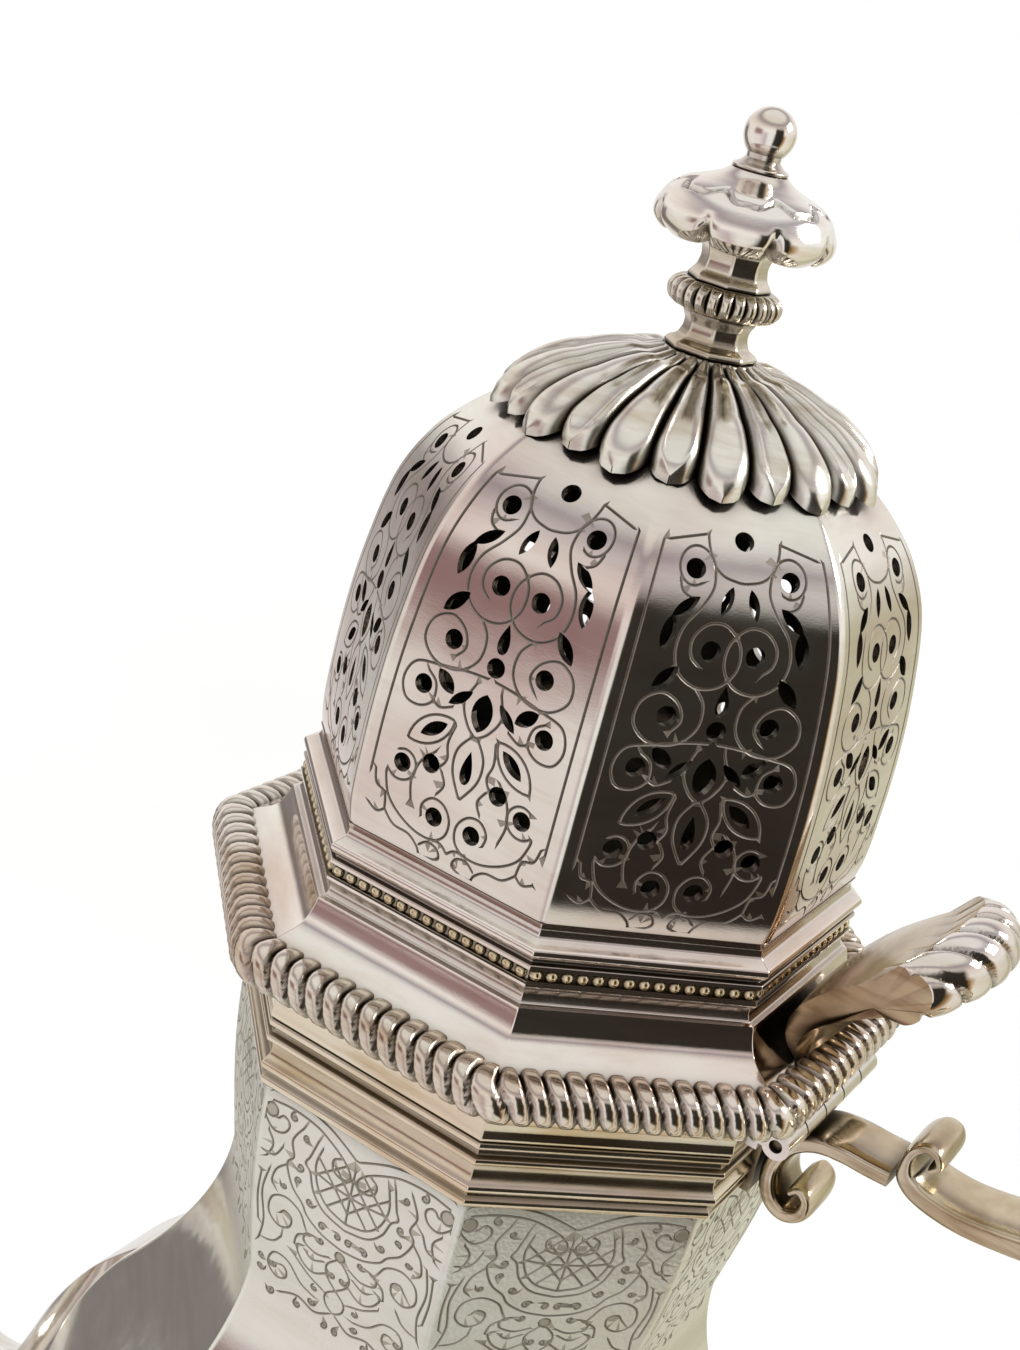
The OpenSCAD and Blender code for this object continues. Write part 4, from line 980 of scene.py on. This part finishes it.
def makeHandle():
    h = handle
    top, t, w = h["top"], h["bandT"], h["bandW"]
    armX = h["plateX"] + t
    arm = [(51.1, -1.5, t - 0.2), (48.4, -1.6, t - 0.2), (45, -1.6, t - 0.2), (41.8, -2.2, t - 0.2),
           (39.2, -4, t - 0.2), (armX + 0.1, -6.8, t - 0.3), (armX, -9.6, t - 0.3), (38.9, -12, 1.25),
           (40.9, -12.9, 1.2), (42.8, -11.9, 1.1), (43.1, -9.9, 0.85), (41.9, -8.9, 0.65),
           (40.9, -9.7, 0.5)]
    bandPiece("armBand", [(x, top + z, a, w) for x, z, a in arm], 8, "handle_arm", (-1, 0))
    scroll = [(55.1, 1.9, 0.55, -0.4), (55.9, 3, 0.6, -0.2), (55.3, 4.3, 0.7, 0), (53.9, 4.5, 0.75, 0),
              (52.7, 3.3, 0.8, 0), (52.4, 1.5, 0.95, 0), (52.9, -0.4, t - 0.15, 0), (55.2, -1.7, t, 0),
              (60, -2.1, t + 0.1, 0.2), (66, -1.2, t + 0.3, 0.4), (71.5, 0.2, t + 0.5, 0.6)]
    bandPiece("scrollBand", [(x, top + z, a, w + b) for x, z, a, b in scroll], 8, "handle_scroll",
              None, h["upperDir"])
    gap = h["disc"] + 0.1
    start = [h["upperDisc"][i] + h["upperDir"][i] * gap for i in (0, 1)]
    end = [h["lowerDisc"][i] - h["lowerDir"][i] * gap for i in (0, 1)]
    x, m = h["gripX"], pot["mouthZ"]
    grip = [(start[0], start[1], 0.5, 0.6),
            (start[0] + 4 * h["upperDir"][0], start[1] + 4 * h["upperDir"][1], 0.7, 0.9),
            (x - 7.5, m - 7, 1.1, 1.4), (x - 1.4, m - 21, 1.4, 1.6), (x - 0.1, m - 37, 1.5, 1.6),
            (x - 3, m - 55, 1.3, 1.4), (x - 10, m - 74, 1.1, 1), (x - 18, m - 89, 0.8, 0.8),
            (end[0] - 4 * h["lowerDir"][0], end[1] - 4 * h["lowerDir"][1], 0.5, 0.6),
            (end[0], end[1], 0.4, 0.4)]
    bandPiece("gripBand", [(x, z, t + a, w + b) for x, z, a, b in grip], 12, "handle_grip",
              h["upperDir"], h["lowerDir"])
    bz = h["bracketZ"]
    bx = bodyR(bz) * flat + 0.25
    lower, d = h["lowerDisc"], h["lowerDir"]
    bracket = [(lower[0] + d[0] * h["fit"], lower[1] + d[1] * h["fit"], t + 0.4, w + 0.4),
               (lower[0] - 3.4, lower[1] - 3.2, t + 0.3, w + 0.3), (bx + t + 0.5, bz + 1, t + 0.3, w),
               (bx + t + 0.4, bz - 6, t, w), (bx + t + 1.6, bz - 12, 1.5, w - 0.2),
               (bx + 6.6, bz - 15.6, 1.5, w - 0.4), (bx + 10.6, bz - 12.8, 1.4, w - 0.4),
               (bx + 9.8, bz - 9, 1.3, w - 0.4), (bx + 6.8, bz - 9.6, 1.2, w - 0.4)]
    bandPiece("bracketBand", bracket, 8, "handle_bracket", d)


thumb = dict(half=12.4, root=8.5, flutes=2.8, fluteDepth=0.55, swell=0.3, slices=121, leaf=11, roll=27,
             reach=11, rise=9, bow=1.8, rollR=1.7, rollGrow=2.5)


def makeThumbpiece():
    # leaf that widens as it leans out over the hinge, with a fluted roll along its crest
    w = thumb
    rings = []
    n, leaf, roll = w["slices"], w["leaf"], w["roll"]
    x0, z0 = cover["slopeR"] * flat + 0.15, cover["z"] + cover["rimH"] + 1.4
    for i in range(n):
        u = -1 + 2 * i / (n - 1)
        s = sqrt(max(1 - u * u * 0.55, 0))
        cx, cz, r = x0 + 6.5 + w["reach"] * s, z0 + 8 + w["rise"] * s, w["rollR"] + w["rollGrow"] * s

        def climb(t, xa, xb, za, zb):
            # one side of the leaf, from its root up to the roll
            return xa + (1 - cos(pi / 2 * t)) * (xb - xa) - w["bow"] * sin(pi * t) * s, za + t * (zb - za), t

        shares = [j / (leaf - 1) for j in range(leaf)]
        ring = [climb(t, x0 + 4.4, cx - r * 0.3, z0 - 1.6, cz - r) for t in shares]
        for j in range(roll):
            a = radians(-70 + 185 * j / (roll - 1))
            phase = (u * w["flutes"] + degrees(a) / 110) % 1
            cut = w["fluteDepth"] * math.exp(-((min(phase, 1 - phase) / 0.07) ** 2))
            q = r - cut - w["swell"] * (1 - sin(pi * phase))
            ring.append((cx + q * cos(a), cz + q * sin(a), 1))
        ring += [climb(t, x0 + 2.6, cx - r, z0, cz) for t in reversed(shares)]
        rings.append([(x, u * (w["root"] + (w["half"] - w["root"]) * t ** 0.7), z) for x, z, t in ring])
    m = len(rings[0])
    verts = [p for ring in rings for p in ring]
    faces = gridFaces(n, m)
    for base in (0, (n - 1) * m):
        verts.append(tuple(sum(verts[base + j][k] for j in range(m)) / m for k in range(3)))
        for j in range(m):
            tri = (base + j, len(verts) - 1, base + (j + 1) % m)
            faces.append(tuple(reversed(tri)) if base else tri)
    ob = plainMesh("thumbLeaf", verts, faces, [silver, leafGilt], "cover", ("thumbpiece",),
                   sharp=50)
    onRoll = [k < (n - 1) * m and leaf - 1 <= k % m < leaf + roll - 1 for k in range(len(faces))]
    ob.data.polygons.foreach_set("material_index", [0 if k else 1 for k in onRoll])


rope = dict(centreR=42.55, centreZ=187.05, out=3.0, up=2.85, ribs=104, slant=0.45, groove=0.3, bend=3.3,
            perRib=14, around=24)


def makeRope():
    # ribbed rope swept round the eight sides
    r = rope
    hub = r["centreR"] - r["bend"] / flat
    side = 2 * hub * half
    turn = r["bend"] * pi / 4
    samples = r["ribs"] * r["perRib"]
    verts = []
    for i in range(samples):
        s = 8 * (side + turn) * i / samples
        k = int(s // (side + turn))
        s -= k * (side + turn)
        a = radians(45 * k + 22.5)
        cx, cy = hub * cos(a), hub * sin(a)
        if s < turn:
            q = a - pi / 8 + s / r["bend"]
        else:
            q = a + pi / 8
            cx -= sin(q) * (s - turn)
            cy += cos(q) * (s - turn)
        for j in range(r["around"]):
            f = 2 * pi * j / r["around"]
            d = abs(2 * ((r["ribs"] * i / samples + r["slant"] * sin(f)) % 1) - 1)
            m = 1 - r["groove"] * d ** 5 - 0.05 * d * d
            o = r["bend"] + r["out"] * m * math.copysign(abs(cos(f)) ** 0.8, cos(f))
            v = r["up"] * m * math.copysign(abs(sin(f)) ** 0.85, sin(f))
            verts.append((cx + cos(q) * o, cy + sin(q) * o, r["centreZ"] + v))
    plainMesh("rimRope", verts, gridFaces(samples, r["around"], True), [ropeSilver], "cover",
              ("gadroon_rim",), sharp=70)


def makeCoverRings():
    # profiles of corner radius, and height above where each ring starts
    slope = catmull(shifted(0, cover["z"], [(41.2, 5.7), (40.2, 6.3), (39.2, 6.75), (38.3, 7.25),
                                            (37.3, 8.1), (36.6, 9.4), (36.2, 10.7)]), 4)
    slope += fillet(shifted(0, cover["z"], [(36.05, 10.95), (35.3, 11.1), (34.85, 11.9), (34.9, 12.8),
                                            (35.6, 13.15), (35.6, 13.7)]), 0.25, 3, False)
    slope += shifted(0, cover["z"], [(33.6, 13.7), (33.6, 8.7), (35.4, 4.2), (35.4, 0), (39.2, 0), (39.2, 5)])
    octLathe("flangeSlope", slope, slopeSilver, "cover", ("cover_flange",), "tarnished", 0.25, 3)
    b = cover["z"] + 13.7
    bead = shifted(0, b, [(33.6, 0), (35.35, 0), (35.35, 0.2), (35.0, 0.3), (35.0, 1.5), (35.35, 1.6),
                          (35.35, 1.8), (33.6, 1.8)])
    octLathe("beadRing", bead, oldSilver, "cover", ("bead_band",), "silver", 0.25, 3)
    f = b + 1.8
    foot = fillet(shifted(0, f, [(35.6, 0), (35.6, 0.5), (34.85, 0.62), (34.85, 1.05), (35.6, 1.25),
                                 (36.0, 1.9), (35.8, 2.5), (35.1, 2.8), (34.2, 3.3), (33.95, 4.1),
                                 (34.3, 5.0)]), 0.35, 4, False)
    octLathe("domeRing", foot + shifted(0, f, [(32.6, 5), (33.0, 3), (33.6, 0)]), slopeSilver, "cover",
             ("dome_foot",), "silver", 0.3, 3)


beadWork = dict(count=15, size=0.78, z=197.9, r=35.05, rows=5, cols=10)


def makeBeads():
    w = beadWork
    side = 2 * w["r"] * half
    rows, cols, size = w["rows"], w["cols"], w["size"]
    verts, faces = [], []
    for k in range(8):
        ca, sa = cos(radians(45 * k)), sin(radians(45 * k))
        for i in range(w["count"]):
            y = (i + 0.5) * side / w["count"] - side / 2
            faces += [tuple(len(verts) + v for v in g) for g in gridFaces(rows, cols)]
            for p in range(rows):
                e = pi / 2 * p / (rows - 1)
                out = w["r"] * flat - 0.1 + size * 0.8 * sin(e)
                for q in range(cols):
                    c = 2 * pi * q / cols
                    along, up = y + size * cos(e) * cos(c), size * cos(e) * sin(c)
                    verts.append((out * ca - along * sa, out * sa + along * ca, w["z"] + up))
    plainMesh("beadRow", verts, faces, [beadGilt], "cover", (), sharp=80)


lobes = dict(count=24, tipR=23.0, rootR=5.4, height=2.0, rootHeight=1.1, lift=0.35, rise=6.3, riseR=15.0,
             swell=1.5, swellR=7.5, phase=-82.5, tipLength=2.7, flatUp=0.12, rows=40, cols=17)
boss = [(1.6, 0.1), (5.6, 0.1), (5.6, 4.2), (5.4, 5.0), (1.6, 5.0)]


def domeTop(r):
    for (ra, za), (rb, zb) in zip(domeLine[:-1], domeLine[1:]):
        if min(ra, rb) <= r <= max(ra, rb) and za > 230:
            return za + (zb - za) * (r - ra) / (rb - ra)
    return dome["z"] + dome["h"]


def makeCrown():
    # lobes lie on the dome, every other one hollowed
    c = lobes
    wide = 2 * pi / c["count"]
    verts, faces = [], []
    rows, cols = c["rows"], c["cols"]
    roundStart = c["tipR"] - c["tipLength"]
    for i in range(c["count"]):
        mid = radians(c["phase"]) + wide * i
        hollow = i % 2
        base = len(verts)
        tip = c["tipR"] - (0.7 if hollow else 0)
        shares = [(j / (rows - 1)) ** 0.8 for j in range(rows)]
        line = [(t, c["rootR"] + (tip - c["rootR"]) * t) for t in shares]
        for t, r in line:
            end = 1.0
            if r > roundStart - 0.7:
                k = min((r - roundStart + 0.7) / (tip - roundStart + 0.7), 1)
                end = max(1 - k ** 2.4, 0) ** 0.5
            w = wide * 0.5 * min(r, roundStart) * (0.93 if hollow else 1.04) * max(end, 0.02)
            swell = min(max((r - c["swellR"]) / (c["tipR"] - c["swellR"]), 0), 1)
            z0 = domeTop(r) + c["lift"] * (1 + t) + c["rise"] * max(0, (c["riseR"] - r) / c["riseR"]) ** 1.25
            z0 += c["swell"] * sin(pi * swell)
            h = c["rootHeight"] + (c["height"] - c["rootHeight"]) * t + 0.3 * sin(pi * t)
            h *= max(end, 0.02) ** 0.6
            for q in range(cols):
                u = -1 + 2 * q / (cols - 1)
                top = h * (1 - abs(u) ** 2.6) ** 0.5
                if hollow:
                    dip = max(0.0, 1 - (abs(u) / 0.62) ** 3) * min(1.0, end * 1.1)
                    top -= dip * h * 0.42 * min(1, t * 2.5)
                verts.append((*polar(r, mid + u * w / r), z0 + top))
        # rim wall down to the dome, then under the lobe
        faces += [tuple(base + v for v in g) for g in gridFaces(rows, cols, False, False)]
        under = len(verts)
        for j, (t, r) in enumerate(line):
            for q in (0, cols - 1):
                x, y, z = verts[base + j * cols + q]
                verts.append((x * 0.997, y * 0.997, domeTop(r) + c["flatUp"]))
        for j in range(rows - 1):
            a0, a1 = base + j * cols, base + (j + 1) * cols
            b0, b1 = under + 2 * j, under + 2 * (j + 1)
            faces += [(a0, a1, b1, b0), (a1 + cols - 1, a0 + cols - 1, b0 + 1, b1 + 1),
                      (b0, b1, b1 + 1, b0 + 1)]
    plainMesh("crownLobes", verts, faces, [crownSilver], "cover", ("crown",), sharp=60)
    turned("crownBoss", fillet(shifted(0, dome["z"] + dome["h"], boss), 0.3, 3), crownSilver, "cover", (),
           64, True)


finial = dict(
    footZ=260.85, ribZ=4.55, ribH=3.3, stemZ=268.75, capZ=273.95, ballZ=285.15, neckUp=7.2,
    capR=10.2, ballR=2.9, petals=8, ribs=26, ribDepth=0.75, perRib=12, around=192,
    foldWidth=0.16, foldDepth=1.3, foldRise=1.1, foldTop=0.5, hem=0.5, hemOut=0.2, crease=0.45,
    foot=[(1.6, 0), (5.3, 0), (5.5, 0.35), (5.2, 0.8), (4.2, 1.3), (3.8, 2.3), (3.8, 3.2), (4.2, 3.9),
          (4.4, 4.5), (1.6, 4.5)],
    stem=[(1.6, 0), (4.9, 0), (4.7, 0.5), (4.1, 1.2), (3.85, 2.4), (4.1, 3.6), (4.8, 4.6), (5.3, 5.15),
          (1.6, 5.15)],
    neck=[(0.02, 0), (3.1, 0), (3.2, 0.4), (2.5, 0.7), (1.9, 1.3)])


def makeFinial():
    f = finial
    octLathe("finialSpool", fillet(shifted(0, f["footZ"], f["foot"]), 0.35, 4), oldSilver, "cover",
             ("finial_foot",), "silver", 0.9, 4)
    k, h = f["footZ"] + f["ribZ"], f["ribH"]
    n = f["ribs"] * f["perRib"]
    verts = []
    turns = [pi * i / 14 for i in range(1, 14)]
    loop = [(1.6, k), (4.3, k)] + [(4.5 + 2.1 * sin(a) ** 0.85, k + h * (0.5 - 0.5 * cos(a))) for a in turns]
    loop += [(4.3, k + h), (1.6, k + h)]
    for i, (r, z) in enumerate(loop):
        bulge = max(0, sin(pi * (i - 1) / (len(loop) - 3))) if 0 < i < len(loop) - 1 else 0
        for j in range(n):
            rr = r - f["ribDepth"] * bulge * abs(2 * ((j / f["perRib"]) % 1) - 1) ** 3
            verts.append((*polar(rr, 2 * pi * j / n), z))
    plainMesh("finialRibs", verts, gridFaces(len(loop), n, True), [oldSilver], "cover", ("finial_knop",),
              sharp=60)
    octLathe("finialVase", fillet(shifted(0, f["stemZ"], f["stem"]), 0.4, 4), oldSilver, "cover",
             ("finial_stem",), "silver", 0.7, 4)
    c, n = f["capZ"], f["around"]
    line = catmull([(5.2, 0.0), (7.2, -0.65), (8.8, -0.5), (f["capR"] - 0.15, 0.5), (f["capR"] + 0.05, 1.6),
                    (9.7, 2.9), (8.9, 4.1), (7.6, 5.0), (5.8, 5.7), (4.2, 6.4), (3.2, 7.15)], 7)
    verts = []
    for i, (r, z) in enumerate(line):
        t = i / (len(line) - 1)
        for j in range(n):
            a = 2 * pi * j / n
            v = abs(((a * f["petals"] / (2 * pi)) % 1) * 2 - 1)
            # folds run up from the hem and fade towards the top
            fold = math.exp(-((1 - v) / f["foldWidth"]) ** 2) * max(0.0, 1 - (t / f["foldTop"]) ** 2)
            hem = (1 - v ** 2) * max(0.0, 1 - abs(t - 0.18) / 0.2)
            wave = 0.66 + 0.045 * cos(a * f["petals"]) + 0.02 * cos(a * f["petals"] * 2)
            crease = math.exp(-((t - wave) / 0.02) ** 2)
            rr = r - f["foldDepth"] * fold - 0.25 * crease + f["hemOut"] * hem
            up = c + z - f["hem"] * hem + f["foldRise"] * fold - f["crease"] * crease
            verts.append((*polar(rr, a), up))
    plainMesh("finialCap", verts, cappedTube(len(line), n), [capSilver], "cover", ("finial_cap",),
              sharp=75)
    line = fillet(shifted(0, c + f["neckUp"], f["neck"]), 0.2, 3, False)
    line += [(max(x, 0.01), z) for x, z in (polar(f["ballR"], radians(e), 0, f["ballZ"])
                                            for e in range(-48, 91, 6))]
    turned("finialKnob", line, capSilver, "cover", ("finial_ball",), 56)


# steps out from the mouth, heights in tenths of the moulding and in mm under the rim
mouldings = dict(
    neck=[(0, 0), (0.95, 0.2), (1.15, 1.1), (0.5, 1.75), (0.55, 2.2), (1.35, 2.5), (1.5, 3.3), (0.9, 3.9),
          (0.45, 4.6), (0.4, 5.4), (0.6, 6.3), (1.45, 6.6), (1.5, 7.4), (0.6, 7.7), (0.6, 8.6), (1.5, 8.8),
          (1.5, 9.7), (0.7, 10)],
    rim=[(0, -4.5), (1.5, -4.5), (1.65, -4.0), (1.45, -3.2), (1.6, -2.0), (2.1, -0.9), (1.7, 0), (0, 0)],
    gap=0.05)


def makeMouldings():
    r, z, low = pot["mouthR"] + mouldings["gap"], pot["mouthZ"], pot["neckZ"] + 1
    tenth = (z - 4.5 - low) / 10
    line = fillet(shifted(r, low, mouldings["neck"], tenth), 0.3, 3, False) + [(r, low + 10 * tenth)]
    octLathe("neckRings", line, mouldSilver, "pot", ("neck_moulding",), "tarnished", 0.3, 3)
    octLathe("rimRing", fillet(shifted(r, z, mouldings["rim"]), 0.3, 3), mouldSilver, "pot", ("rim_band",),
             "tarnished", 0.3, 3)


spoutWork = dict(reach=118.0, tipZ=172.0, wall=1.1, rootW=17.0, arris=1.0)


def makeSpout():
    # upper x and z, lower x and z, and half width of each station from the root to the tip
    s = spoutWork
    w, tip = s["rootW"], s["tipZ"]
    line = [(-46, 109, -46, 36, w), (-55, 99, -55, 33.5, w - 0.5), (-61.5, 88, -64, 32, w - 1.5),
            (-66.5, 76, -74, 32.5, w - 3), (-71, 66, -83, 35.5, 12), (-77, 60, -94, 41.5, 10.5),
            (-84.5, 59, -104, 51, 9.5), (-92.5, 63.5, -110, 62.5, 8.6), (-98, 72, -113, 76, 8),
            (-100.5, 86, -114, 90, 7.4), (-102, 107, -114.5, 109, 6.8), (-103.5, 130, -115.5, 132, 6.2),
            (6 - s["reach"], tip - 16, -s["reach"] - 4.7, tip - 12, 5.8),
            (4.6 - s["reach"], tip - 3.2, -s["reach"] - 4.4, tip + 3.2, 5.4)]
    path = catmull(line, 8)

    def ring(p, grow, along=0.0):
        cx, cz = (p[0] + p[2]) / 2, (p[1] + p[3]) / 2
        h = hypot(p[0] - p[2], p[1] - p[3]) / 2
        ux, uz = (p[0] - p[2]) / (2 * h), (p[1] - p[3]) / (2 * h)
        c = s["arris"]
        out = []
        for k in range(8):
            a = radians(45 * (k + 0.5))
            for j in range(5):
                q = a + radians(-22.5 + 11.25 * j)
                ex = (h / flat + grow - c / flat) * cos(a) + c * cos(q)
                ey = (p[4] / flat + grow - c / flat) * sin(a) + c * sin(q)
                out.append((cx + ux * ex - uz * along, ey, cz + uz * ex + ux * along))
        return out

    def seated(pts):
        # ends of the tube stop at the body's flat side
        return [(min(x, -bodyR(min(max(z, 16), 182)) * flat - 0.1), y, z) for x, y, z in pts]

    def close(name, rings, mat, replaces, sharp):
        verts = [p for r in rings for p in r]
        plainMesh(name, verts, gridFaces(len(rings), len(rings[0]), True), [mat], "pot", (replaces,),
                  sharp=sharp)

    outer = [seated(ring(p, 0)) for p in path]
    inner = [seated(ring(p, -s["wall"])) for p in reversed(path)]
    close("spoutTube", outer + inner, silver, "spout", 35)
    lip = fillet([(-0.3, 0.05), (0.65, 0.3), (0.85, 1.05), (0.6, 1.8), (-s["wall"], 1.8),
                  (-s["wall"], 0.05)], 0.35, 3)
    close("spoutRim", [ring(path[-1], grow, along) for grow, along in lip], oldSilver, "spout_lip", 60)


def makeFoot():
    b, rise = 3.0, pot["footH"] - 3.0
    fr, sr, top = pot["footR"], pot["stemR"], pot["footH"]
    line = shifted(fr, b, [(-0.8, 0), (-1, 0.12), (-2.2, 0.22), (-3, 0.24), (-5.2, 0.34)], rise)
    line += shifted(sr, b, [(3.4, 0.52), (1.6, 0.7), (1.2, 0.82), (1.8, 0.86), (1.8, 0.94)], rise)
    line = fillet(line + [(sr + 1, top)], 0.8, 4, False)
    line += [(sr - 3.2, top), (sr - 3.2, top - 1.4), (sr + 0.4, b + 0.42 * rise), (fr - 7.6, b + 0.18 * rise),
             (fr - 4, b)]
    octLathe("footBell", line, silver, "pot", ("foot",), "silver", 0.5, 3)
    wire = shifted(fr, 0, [(-4.4, 0), (0, 0), (0, 1.0), (-0.3, 2.4), (-0.8, 3), (-4.4, 3)])
    octLathe("footWire", fillet(wire, 0.35, 3), oldSilver, "pot", ("foot_wire",), "silver", 0.5, 3)


for make in (makeHandle, makeThumbpiece, makeRope, makeCoverRings, makeBeads, makeCrown, makeFinial,
             makeMouldings, makeSpout, makeFoot):
    make()
print("mouldings, crown, finial, handle and spout made")


# CAD pieces that stay as they are and only get a material
keep = {"hinge_body": silver, "hinge_pin": oldSilver, "hinge_cover": silver, "handle_plate": gilt,
        "handle_pins": oldSilver, "insulator_upper": bone, "insulator_lower": bone,
        "base_plate": oldSilver, "cover_bezel": silver, "finial_bolt": silver, "finial_nut": oldSilver}
for name, mat in keep.items():
    for part in nodes[name].material_slots:
        part.material = mat
